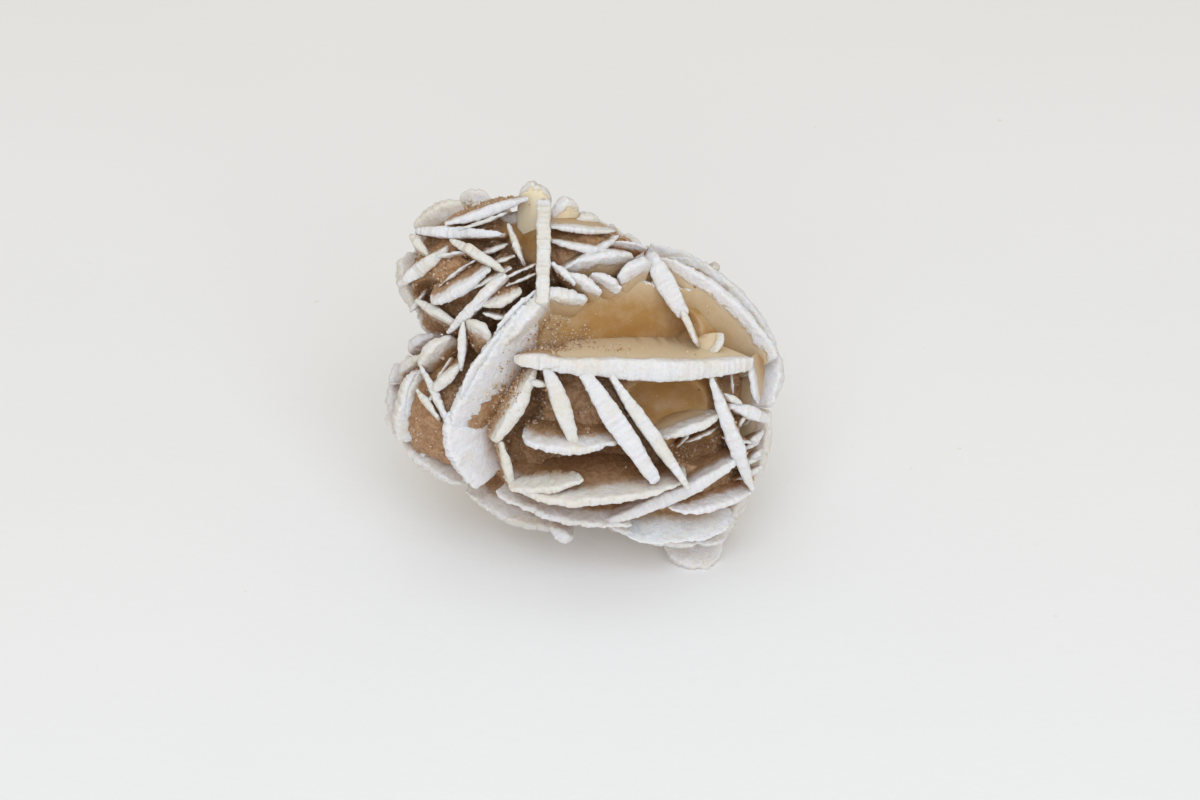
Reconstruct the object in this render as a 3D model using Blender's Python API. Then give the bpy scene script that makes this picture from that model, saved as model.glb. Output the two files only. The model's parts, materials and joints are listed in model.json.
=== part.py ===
"""A gypsum sand rose, also called a desert rose: lens-shaped gypsum blades grown through each other around
a sandy heart, all one natural piece. The face of the rose leans back, and the piece rests on the worn tips
of its lowest blades. Metres, +Z up. The origin is on the surface that the rose rests on, at the centre of
its outline."""

import math
import random
from collections import namedtuple

import bmesh
import bpy
from mathutils import Vector

MM = 0.001

# The blades are placed on axes of their own, turned with the rose's face: across it, up it and out of it.
FACE_LEAN_DEG = 30.0
ACROSS = Vector((1, 0, 0))
UP_FACE = Vector((0, math.sin(math.radians(FACE_LEAN_DEG)), math.cos(math.radians(FACE_LEAN_DEG))))
OUT = Vector((0, -math.cos(math.radians(FACE_LEAN_DEG)), math.sin(math.radians(FACE_LEAN_DEG))))

# Where the middle of the heart sits above the surface that the rose rests on, and the shift that centres
# the outline.
HEART_HEIGHT = 18.6
CENTRE_SHIFT = Vector((-0.11, 0.3, 0.0))

# A blade: the two ends of its free rim, in mm on the face's axes; how far it leans round that chord, in
# degrees (0 stands straight out of the face, 90 lies in it); how far the rim bows out past the chord and
# how far the blade reaches back into the rose, in mm; and the thickness of its rim.
Blade = namedtuple("Blade", "name start end lean bulge reach rim")
FACE_BLADES = [Blade(*row) for row in (
    ("long shelf", (-3.4, 1.5, 13.2), (18.0, 1.5, 7.6), 20, 3.2, 9, 2.4),
    ("shelf end", (-7.6, 1.9, 12.8), (-2.0, 1.6, 13.8), 12, 1.2, 6, 1.7),
    ("slat one", (-4.0, 1.4, 13.2), (-0.8, -7.8, 12.6), -6, 1.4, 6, 2.0),
    ("slat two", (-0.4, 1.2, 13.4), (7.9, -11.6, 12.0), 0, 1.6, 6, 2.3),
    ("slat three", (2.6, 0.5, 13.2), (11.4, -12.2, 10.5), -4, 1.6, 6, 1.5),
    ("inner shelf", (-6.9, -6.5, 11.2), (3.6, -7.0, 12.0), 32, 2.6, 5, 1.1),
    ("left slat", (-5.2, 0.6, 12.0), (-9.7, -7.3, 11.0), -22, 1.4, 5, 1.6),
    ("left strip", (-8.9, -7.0, 11.2), (-7.7, -12.3, 9.0), -8, 0.8, 5, 1.0),
    ("smile shelf", (-8.8, -10.8, 8.0), (11.0, -10.6, 8.5), 30, 6.1, 8, 1.0),
    ("smile chip", (-8.2, -12.0, 10.0), (-0.2, -11.2, 12.4), 36, 1.4, 2.4, 1.0),
    ("long diagonal", (1.4, -16.2, 7.0), (17.6, -8.3, 5.5), 22, 2.4, 6, 1.6),
    ("grey shelf", (-9.4, -12.4, 6.5), (5.0, -16.0, 7.0), 42, 2.3, 6, 0.9),
    ("low right shelf", (9.2, -14.4, 7.5), (18.3, -12.3, 3.0), 35, 1.9, 6, 0.8),
    ("white apron", (2.6, -16.3, 5.5), (15.4, -17.8, 1.8), 52, 1.6, 7, 1.0),
    ("foot", (8.6, -18.4, -1.4), (15.4, -19.1, -1.8), 76, 2.7, 7, 2.4),
    ("right edge low", (12.9, -20.6, -2.4), (18.4, -11.2, -0.4), 55, 1.0, 6, 1.6),
    ("right edge high", (18.3, -12.0, -0.5), (20.3, -4.0, 0.5), 55, 1.0, 6, 1.4),
    ("right slat", (13.8, -0.3, 10.0), (18.5, -12.6, 3.5), 6, 1.3, 6, 1.7),
    ("right shelf", (8.4, -6.5, 10.0), (14.8, -4.1, 8.0), 20, 1.4, 7, 1.1),
    ("hair blade one", (10.1, -7.6, 8.0), (12.1, -5.3, 7.5), 10, 0.6, 3, 0.4),
    ("hair blade two", (11.1, -7.1, 8.3), (14.7, -5.4, 6.6), 12, 0.8, 3, 0.4),
    ("block", (16.0, -3.2, 7.4), (20.3, -4.8, 3.5), -6, 0.9, 5, 1.5),
    ("block cap", (15.2, -1.9, 8.4), (17.1, -3.0, 7.0), -10, 0.6, 4, 0.8),
    ("right chip one", (16.9, -5.4, 6.0), (17.7, -4.1, 5.5), 0, 0.5, 3, 0.5),
    ("right chip two", (17.2, -8.1, 5.0), (19.7, -5.9, 3.0), 14, 0.8, 4, 0.9),
    ("right chip three", (17.5, -9.7, 4.5), (19.4, -7.9, 2.5), 14, 0.8, 4, 0.8),
    ("right chip four", (17.3, -11.1, 4.0), (19.3, -9.7, 2.0), 14, 0.8, 4, 0.7),
    ("hook", (18.0, 1.7, 7.4), (18.9, -2.9, 5.0), 22, 0.8, 4, 0.7),
    ("honey wall", (-7.8, 5.4, 10.0), (13.0, 8.6, 3.8), -66, 3.4, 9, 1.4),
    ("rib", (7.0, 13.4, 5.8), (10.9, 6.6, 7.6), 4, 1.2, 5, 2.2),
    ("petal one", (8.4, 12.8, 5.0), (20.8, 2.1, 3.0), -60, 2.3, 9, 1.3),
    ("petal two", (9.4, 13.2, 1.5), (21.6, 0.2, -0.5), -74, 3.2, 9, 1.1),
    ("petal three", (7.6, 14.4, 1.0), (17.3, 8.7, 0.5), -70, 1.4, 7, 0.7),
    ("petal four", (12.0, 12.2, -3.0), (21.6, 0.6, -4.0), -82, 2.0, 9, 1.6),
    ("petal foot", (20.8, 3.2, -1.0), (20.2, -3.3, 1.0), -70, 1.5, 7, 2.0),
    ("cavity chip", (14.1, 2.5, 7.8), (15.1, 4.7, 6.8), 50, 0.6, 3, 0.6),
    ("lip upper", (-9.6, 3.0, 12.2), (-3.4, 9.4, 11.8), -26, 1.0, 6, 2.0),
    ("lip end", (-5.4, 9.0, 11.9), (0.3, 8.4, 10.8), -34, 0.9, 7, 1.4),
    ("lip middle", (-14.6, -5.6, 9.5), (-6.7, 7.5, 13.0), -48, 1.2, 6, 1.8),
    ("lip lower", (-11.7, -12.0, 5.5), (-14.8, -3.9, 10.0), -70, 1.6, 6, 1.6),
    ("post", (-4.4, 19.2, 8.0), (-4.4, 7.6, 13.2), 0, 1.2, 6, 1.5),
    ("bar one", (-3.7, 16.2, 8.0), (3.2, 15.9, 6.0), 18, 1.0, 5, 0.8),
    ("bar two", (-3.7, 14.5, 9.5), (4.9, 13.2, 7.5), 10, 1.2, 5, 0.95),
    ("bar three", (-2.0, 11.6, 10.6), (3.9, 15.4, 6.5), 14, 1.0, 4, 0.8),
    ("bar four", (-3.6, 12.3, 11.0), (-0.9, 10.0, 11.8), -14, 0.8, 4, 0.8),
    ("bar five", (-1.6, 11.0, 11.4), (1.9, 9.0, 11.2), -30, 1.0, 4, 1.0),
    ("bar six", (0.7, 11.0, 10.4), (4.0, 9.5, 10.2), -38, 0.9, 3, 0.9),
    ("fan", (-1.7, 11.9, 10.4), (5.6, 12.9, 7.8), -40, 1.4, 4, 0.9),
    ("square chip", (3.8, 10.6, 9.6), (7.3, 12.4, 7.4), -42, 1.3, 3, 1.2),
    ("top lump", (-7.2, 19.7, 2.5), (-3.6, 19.4, 3.0), -82, 1.7, 9, 2.4),
    ("top block", (-3.5, 17.6, 5.0), (-0.6, 18.4, 3.5), -60, 1.6, 5, 1.6),
    ("top block low", (-0.9, 16.9, 4.5), (1.6, 16.7, 3.5), -60, 1.2, 5, 1.3),
    ("crest one", (-15.1, 16.7, 6.0), (-6.2, 19.4, 5.0), 10, 1.6, 6, 1.2),
    ("crest two", (-18.7, 15.8, 3.0), (-9.2, 15.4, 8.5), -6, 1.5, 6, 1.35),
    ("crest three", (-14.5, 14.9, 7.5), (-8.5, 11.2, 10.8), -8, 1.3, 5, 1.1),
    ("crest four", (-20.2, 10.1, 3.5), (-14.8, 13.8, 7.0), 6, 1.3, 5, 1.6),
    ("crest five", (-19.1, 15.4, 3.0), (-17.1, 13.2, 5.5), -10, 0.8, 4, 1.0),
    ("crest six", (-16.7, 8.0, 7.8), (-10.1, 11.4, 10.4), 28, 1.4, 5, 1.3),
    ("crest seven", (-8.3, 16.5, 7.5), (-6.6, 12.4, 10.2), 0, 0.9, 4, 0.8),
    ("crest eight", (-10.1, 16.8, 6.5), (-8.3, 18.1, 5.5), 10, 0.5, 3, 0.5),
    ("crest nine", (-10.9, 13.2, 8.5), (-8.2, 14.3, 8.0), 10, 0.5, 3, 0.5),
    ("crest ten", (-9.6, 12.2, 9.3), (-7.4, 13.0, 9.3), 10, 0.5, 3, 0.4),
    ("left shoulder", (-18.2, 7.2, 1.0), (-19.8, 13.4, 0.0), -62, 1.5, 7, 2.2),
    ("left brow", (-18.5, 16.2, 0.5), (-13.5, 19.0, 2.0), -70, 1.4, 7, 1.6),
    ("back sail", (-14.0, 19.2, -1.5), (-10.2, 19.4, -1.0), -84, 1.4, 8, 0.9),
    ("ridge one", (-12.1, 7.3, 11.0), (-8.3, 10.9, 11.4), -16, 1.0, 5, 1.2),
    ("ridge two", (-14.7, 4.7, 8.8), (-9.2, 9.7, 11.2), -6, 1.2, 5, 1.3),
    ("ridge three", (-10.8, 7.6, 11.4), (-6.7, 9.2, 11.8), 28, 1.2, 4, 0.9),
    ("ridge four", (-10.9, 6.8, 11.3), (-8.3, 6.2, 12.2), 12, 0.6, 3, 0.5),
    ("ridge five", (-18.2, 8.3, 5.0), (-13.8, 5.7, 8.6), -10, 1.0, 5, 1.1),
    ("ridge six", (-12.7, 5.6, 10.6), (-10.0, 4.4, 12.2), -46, 1.1, 3, 1.1),
    ("ridge seven", (-19.0, 7.1, 3.0), (-17.7, 8.8, 4.5), 0, 0.6, 3, 0.6),
    ("left arch", (-17.8, 0.9, 7.0), (-14.4, 4.4, 8.4), -42, 1.3, 5, 1.4),
    ("left line", (-17.7, 1.0, 7.6), (-14.5, -5.2, 9.8), -8, 0.9, 5, 0.9),
    ("left stick", (-13.0, 5.9, 10.6), (-13.3, 0.6, 10.8), 4, 0.8, 4, 1.0),
    ("left bar", (-16.5, -1.7, 8.8), (-13.2, 1.2, 10.6), 14, 1.0, 4, 1.3),
    ("left sliver", (-18.2, -1.4, 7.0), (-15.8, -4.4, 9.0), -4, 0.8, 4, 0.8),
    ("left cheek", (-20.2, -6.9, 2.0), (-18.0, 0.8, 5.5), -64, 1.6, 6, 1.8),
    ("left outer", (-20.4, -6.8, -3.0), (-20.8, 1.4, -2.5), -78, 1.2, 8, 2.0),
    ("left hem", (-20.0, -7.2, -1.0), (-13.6, -11.8, 1.5), 62, 1.0, 6, 1.4),
    ("under shelf", (-12.8, -12.6, -0.5), (-1.1, -16.4, 0.0), 66, 1.9, 8, 1.5),
    ("under knob", (-3.7, -16.3, 4.0), (-1.2, -17.8, 3.0), 30, 1.0, 5, 1.5),
    ("left brim", (-20.2, 0.4, 0.5), (-17.4, 2.2, 4.5), -30, 1.0, 5, 1.3),
    ("left brim high", (-19.0, 2.6, -0.5), (-16.6, 4.6, 3.0), -45, 1.2, 5, 1.4),
    ("rib tail", (10.2, 8.4, 7.2), (12.3, 3.3, 8.6), 4, 0.8, 6, 0.8),
    ("post head", (-4.4, 19.3, 8.0), (-4.4, 15.4, 9.8), 0, 0.6, 5, 1.5),
    ("crest backing", (-11.0, 17.0, 1.0), (-5.2, 18.2, 2.0), -84, 0.5, 7, 2.2),
)]

# The heart of the rose, as (centre, radii) of its lumps in mm on the face's axes.
HEART_LUMPS = (
    ((2.0, -2.0, -1.5), (15.5, 13.5, 11.5)),
    ((4.5, 3.5, -3.5), (13.2, 10.0, 10.5)),
    ((-11.5, 11.0, -1.0), (7.5, 7.2, 9.0)),
    ((-12.5, -3.0, -1.0), (8.0, 7.0, 9.5)),
    ((9.0, -10.5, -3.0), (9.0, 7.0, 8.5)),
    ((-1.5, 12.5, 1.5), (7.0, 4.6, 6.5)),
    ((-0.5, -6.3, -7.0), (11.5, 7.0, 7.5)),
)

# The hollows that open into the heart between the blades of the face, as (centre, radii) in mm on the
# face's axes.
HOLLOWS = (
    ((4.5, 5.4, 10.5), (12.0, 4.8, 8.5)),
    ((-7.2, -2.5, 11.0), (3.2, 5.5, 6.5)),
    ((0.0, -8.6, 10.5), (8.0, 1.9, 6.0)),
    ((9.5, -3.0, 9.5), (5.0, 3.2, 5.0)),
    ((12.5, -8.0, 8.0), (3.2, 2.0, 6.0)),
)

# The blades on the sides, back and underside: the spacing between them and the range of each size, in mm.
# They grow only where the heart's own surface turns away from the face by more than the limit.
SIDE_SPACING = 5.6
SIDE_TURN_LIMIT = -0.38
SIDE_HALF_LENGTH = (3.2, 6.4)
SIDE_BULGE = (1.2, 2.4)
SIDE_REACH = (5.0, 7.5)
SIDE_RIM = (0.8, 1.6)
SIDE_LIFT = 0.8  # how far the middle of the rim's chord stands off the heart, in mm
SIDE_SEED = 7
BURIED = 1.05  # a side blade isn't placed where its depth in another lump is under this
# The side blades stand in a few families of nearly parallel plates, given by their normals. A blade's own
# normal strays from its family's by up to the spread, and is turned towards the heart's surface by the
# share below.
FAMILIES = (
    Vector((0.2, 0.3, 0.93)),
    Vector((0.9, -0.3, 0.3)),
    Vector((-0.5, 0.8, 0.2)),
    Vector((0.6, 0.7, -0.4)),
)
FAMILY_SPREAD = 0.25
FAMILY_TURN = 0.62

# The blades under the rose that it rests on besides the foot: the two ends of each rim, in mm across and
# back.
REST_BLADES = ((-9.8, 2.4, -4.2, -0.8), (-3.6, 9.8, 3.6, 8.4))
REST_HEIGHT = 0.9
REST_BULGE = 1.5
REST_REACH = 8.0
REST_RIM = 2.2

LONG_BLADE = 3.0  # a blade with a half length over this, in mm, has more sides than a shorter one
LONG_SIDES, SHORT_SIDES = 10, 6
RIM_TAPER = 0.35  # the rim's thickness at the ends of the chord, as a share of its thickness at the middle
RIM_POWER = 1.3  # the power of the sine that draws the rim: over 1 makes its ends pointed
# The unevenness of each blade's outline, as waves round it: size, number of waves, and turn from blade to
# blade.
OUTLINE_WAVES = ((0.04, 3, 1.7), (0.025, 5, 2.9))
LUMP_GRIT = 0.05  # how uneven the heart's lumps are, as a share of their radii
GROUND_BLOCK = 0.2  # the side of the block that wears the feet flat, in m


def on_face(point):
    """A point on the face's axes, in mm, as a place in the rose's frame, in mm."""
    across, up, out = point
    return ACROSS * across + UP_FACE * up + OUT * out + Vector((0, 0, HEART_HEIGHT)) + CENTRE_SHIFT


def collection(name):
    made = bpy.data.collections.new(name)
    bpy.context.scene.collection.children.link(made)
    return made


def new_object(name, bm, into):
    """Turns a bmesh, worked in mm, into an object in metres."""
    for vertex in bm.verts:
        vertex.co *= MM
    bmesh.ops.recalc_face_normals(bm, faces=bm.faces)
    mesh = bpy.data.meshes.new(name)
    bm.to_mesh(mesh)
    bm.free()
    obj = bpy.data.objects.new(name, mesh)
    into.objects.link(obj)
    return obj


def outline(angle, half_length, bulge, reach, number):
    """A point of the blade's outline: along its chord, and out (or, behind the chord, back) from it. The
    front is a pointed arc, the back half an ellipse, and both are a little uneven, each blade in its own
    way."""
    along, out = math.cos(angle), math.sin(angle)
    wave = 1 + sum(size * math.sin(count * angle + turn * number) for size, count, turn in OUTLINE_WAVES)
    depth = bulge * out**RIM_POWER if out > 0 else reach * out
    return half_length * along * wave, depth * wave


def make_blade(name, middle, chord, forward, half_length, bulge, reach, rim, number, into):
    """One gypsum blade: a disc pressed to the blade's outline, whose two faces are each folded along the
    middle, so that the blunt rim is thickest there and thins towards both ends of the chord."""
    bm = bmesh.new()
    segments = LONG_SIDES if half_length > LONG_BLADE else SHORT_SIDES
    bmesh.ops.create_cone(bm, cap_ends=True, segments=segments, radius1=1, radius2=1, depth=1)
    everything = bm.verts[:] + bm.edges[:] + bm.faces[:]
    bmesh.ops.bisect_plane(bm, geom=everything, plane_co=(0, 0, 0), plane_no=(1, 0, 0))
    normal = chord.cross(forward)
    for vertex in bm.verts:
        x, y, z = vertex.co
        along, out = outline(math.atan2(y, x), half_length, bulge, reach, number)
        half_thick = rim / 2 * (1 - (1 - RIM_TAPER) * min(1.0, abs(along) / half_length))
        vertex.co = middle + chord * along + forward * out + normal * math.copysign(half_thick, z)
    new_object(name, bm, into)


def face_blade(blade, number, into):
    """A blade of the face, from the two ends of its rim."""
    start, end = on_face(blade.start), on_face(blade.end)
    chord = (end - start).normalized()
    straight = (OUT - chord * OUT.dot(chord)).normalized()
    lean = math.radians(blade.lean)
    forward = straight * math.cos(lean) + chord.cross(straight) * math.sin(lean)
    half_length = (end - start).length / 2
    make_blade(blade.name, (start + end) / 2, chord, forward, half_length, blade.bulge, blade.reach,
               blade.rim, number, into)


def ball(name, centre, radii, grit, number, into):
    """A faceted ellipsoid on the face's axes, whose radii swell and shrink by the share called grit."""
    bm = bmesh.new()
    bmesh.ops.create_icosphere(bm, subdivisions=2, radius=1)
    for vertex in bm.verts:
        x, y, z = vertex.co
        swell = 1 + grit * math.sin(5 * x + 2 * number) * math.cos(4 * y - 3 * z)
        vertex.co = on_face([centre[k] + radii[k] * vertex.co[k] * swell for k in range(3)])
    return new_object(name, bm, into)


def depth_in(lump, place):
    """Under 1 inside the lump, 1 on its surface and over 1 outside it."""
    centre, radii = lump
    return sum(((place[k] - centre[k]) / radii[k]) ** 2 for k in range(3))


def side_sites():
    """Places spread evenly over the sides and back of the heart's lumps, each with its outward normal, on
    the face's axes. Those inside another lump are left out."""
    golden = math.pi * (3 - math.sqrt(5))
    for centre, radii in HEART_LUMPS:
        round_area = 4 * math.pi * (radii[0] * radii[1] * radii[2]) ** (2 / 3)
        count = round(round_area / SIDE_SPACING**2)
        for i in range(count):
            out = 1 - 2 * (i + 0.5) / count
            ring = math.sqrt(1 - out * out)
            way = (ring * math.cos(golden * i), ring * math.sin(golden * i), out)
            place = Vector([centre[k] + radii[k] * way[k] for k in range(3)])
            outward = Vector([way[k] / radii[k] for k in range(3)]).normalized()
            buried = sum(depth_in(lump, place) < BURIED for lump in HEART_LUMPS) > 1
            if outward.z < SIDE_TURN_LIMIT and not buried:
                yield place, outward


def side_blades(first_number, into):
    """The blades that the sides and back carry: they stand on the heart, in crossing families of parallel
    plates."""
    draw = random.Random(SIDE_SEED)
    for i, (place, outward) in enumerate(side_sites()):
        family = FAMILIES[draw.randrange(len(FAMILIES))].copy()
        family += Vector([draw.uniform(-FAMILY_SPREAD, FAMILY_SPREAD) for _ in range(3)])
        normal = (family - outward * family.dot(outward) * FAMILY_TURN).normalized()
        chord = normal.cross(outward).normalized()
        forward = chord.cross(normal).normalized()
        if forward.dot(outward) < 0:
            forward.negate()
        half_length = draw.uniform(*SIDE_HALF_LENGTH)
        middle = place + forward * SIDE_LIFT
        chord, forward = [ACROSS * way[0] + UP_FACE * way[1] + OUT * way[2] for way in (chord, forward)]
        make_blade(f"side blade {i}", on_face(middle), chord, forward, half_length, draw.uniform(*SIDE_BULGE),
                   draw.uniform(*SIDE_REACH), draw.uniform(*SIDE_RIM), first_number + i, into)


def rest_blades(into):
    """The blades that the rose rests on: their rims point down, and the ground has worn them flat."""
    for i, (x1, y1, x2, y2) in enumerate(REST_BLADES):
        start, end = Vector((x1, y1, REST_HEIGHT)), Vector((x2, y2, REST_HEIGHT))
        chord = (end - start).normalized()
        make_blade(f"rest blade {i}", (start + end) / 2, chord, Vector((0, 0, -1)), (end - start).length / 2,
                   REST_BULGE, REST_REACH, REST_RIM, i, into)


def gypsum():
    """Chalky white gypsum with a warm cast."""
    material = bpy.data.materials.new("gypsum")
    material.use_nodes = True
    shader = material.node_tree.nodes["Principled BSDF"]
    shader.inputs["Base Color"].default_value = (0.78, 0.72, 0.64, 1)
    shader.inputs["Roughness"].default_value = 0.85
    shader.inputs["Metallic"].default_value = 0.0
    return material


def keep_largest_body(mesh):
    """Deletes what the joining leaves inside the rose: the closed pockets between the blades, each a body of
    its own."""
    bm = bmesh.new()
    bm.from_mesh(mesh)
    bodies, reached = [], set()
    for vertex in bm.verts:
        if vertex in reached:
            continue
        reached.add(vertex)
        body = [vertex]
        for member in body:
            near = [edge.other_vert(member) for edge in member.link_edges]
            body.extend(v for v in near if v not in reached)
            reached.update(near)
        bodies.append(body)
    largest = set(max(bodies, key=len))
    bmesh.ops.delete(bm, geom=[v for v in bm.verts if v not in largest], context="VERTS")
    bm.to_mesh(mesh)
    bm.free()


def join(rose, name, operation, shapes):
    """Adds to the rose the Boolean of a collection of shapes, which are hidden, as guides."""
    for shape in shapes.objects:
        shape.hide_render = True
        shape.display_type = "WIRE"
    step = rose.modifiers.new(name, "BOOLEAN")
    step.operation = operation
    step.solver = "EXACT"
    step.operand_type = "COLLECTION"
    step.collection = shapes


def main():
    for obj in list(bpy.data.objects):
        bpy.data.objects.remove(obj)
    rose = ball("sand_rose", *HEART_LUMPS[0], LUMP_GRIT, 0, collection("sand rose"))

    lumps = collection("lumps of the heart")
    for i, (centre, radii) in enumerate(HEART_LUMPS[1:], 1):
        ball(f"lump {i}", centre, radii, LUMP_GRIT, i, lumps)
    join(rose, "join the heart", "UNION", lumps)

    hollows = collection("hollows in the heart")
    for i, (centre, radii) in enumerate(HOLLOWS):
        ball(f"hollow {i}", centre, radii, LUMP_GRIT, i, hollows)
    join(rose, "open the hollows", "DIFFERENCE", hollows)

    blades = collection("blades")
    for i, blade in enumerate(FACE_BLADES):
        face_blade(blade, i, blades)
    side_blades(len(FACE_BLADES), blades)
    rest_blades(blades)
    join(rose, "join the blades", "UNION", blades)

    ground = collection("ground that wears the feet flat")
    bpy.ops.mesh.primitive_cube_add(size=GROUND_BLOCK, location=(0, 0, -GROUND_BLOCK / 2))
    block = bpy.context.object
    block.name = "ground"
    for holder in list(block.users_collection):
        holder.objects.unlink(block)
    ground.objects.link(block)
    join(rose, "worn feet", "DIFFERENCE", ground)

    whole_mesh = bpy.data.meshes.new_from_object(rose.evaluated_get(bpy.context.evaluated_depsgraph_get()))
    rose.modifiers.clear()
    rose.data = whole_mesh
    keep_largest_body(whole_mesh)
    whole_mesh.materials.clear()
    whole_mesh.materials.append(gypsum())


main()
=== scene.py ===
"""The looks of a gypsum sand rose: lens-shaped gypsum blades with chalky white rims, grown through each
other round a sandy heart, with sand grains held in the recesses, on a pale table. Lengths in the tables are
in millimetres, and every finished mesh is in metres, +Z up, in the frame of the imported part."""
import itertools
import json
import math
import random
from collections import namedtuple

import bmesh
import bpy
import numpy as np
from bpy.props import EnumProperty, FloatProperty, FloatVectorProperty, IntProperty, PointerProperty
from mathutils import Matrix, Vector

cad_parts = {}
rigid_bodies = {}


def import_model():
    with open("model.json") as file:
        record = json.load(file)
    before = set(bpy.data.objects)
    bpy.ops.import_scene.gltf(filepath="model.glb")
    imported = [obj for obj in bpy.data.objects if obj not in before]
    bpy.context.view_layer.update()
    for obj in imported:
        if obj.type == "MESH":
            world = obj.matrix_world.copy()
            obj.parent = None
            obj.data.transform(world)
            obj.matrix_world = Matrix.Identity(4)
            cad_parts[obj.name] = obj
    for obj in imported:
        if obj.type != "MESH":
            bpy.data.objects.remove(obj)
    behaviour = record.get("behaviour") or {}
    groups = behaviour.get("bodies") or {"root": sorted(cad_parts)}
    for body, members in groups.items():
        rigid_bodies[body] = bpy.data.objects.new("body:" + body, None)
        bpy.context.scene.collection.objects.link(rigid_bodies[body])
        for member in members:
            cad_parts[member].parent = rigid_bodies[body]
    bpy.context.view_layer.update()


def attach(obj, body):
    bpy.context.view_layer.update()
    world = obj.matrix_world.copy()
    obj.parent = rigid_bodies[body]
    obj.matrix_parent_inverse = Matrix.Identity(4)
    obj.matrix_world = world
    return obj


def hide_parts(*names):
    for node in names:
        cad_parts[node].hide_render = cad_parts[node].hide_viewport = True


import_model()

bl_info = {
    "name": "Gypsum sand rose",
    "version": (1, 0, 0),
    "blender": (4, 5, 0),
    "location": "3D View > Sidebar > Sand rose",
    "description": "Grows the visible surface of a gypsum sand rose on its packed solid",
    "category": "Add Mesh",
}

MM = 0.001

# The face of the rose leans back, and its blades are placed on axes turned with it: across it, up it and
# out of it.
FACE_LEAN = math.radians(30.0)
ACROSS = np.array((1.0, 0.0, 0.0))
UP_FACE = np.array((0.0, math.sin(FACE_LEAN), math.cos(FACE_LEAN)))
OUT = np.array((0.0, -math.cos(FACE_LEAN), math.sin(FACE_LEAN)))
FACE_AXES = np.array((ACROSS, UP_FACE, OUT))
HEART_CENTRE = np.array((-0.11, 0.3, 18.6))

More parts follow.
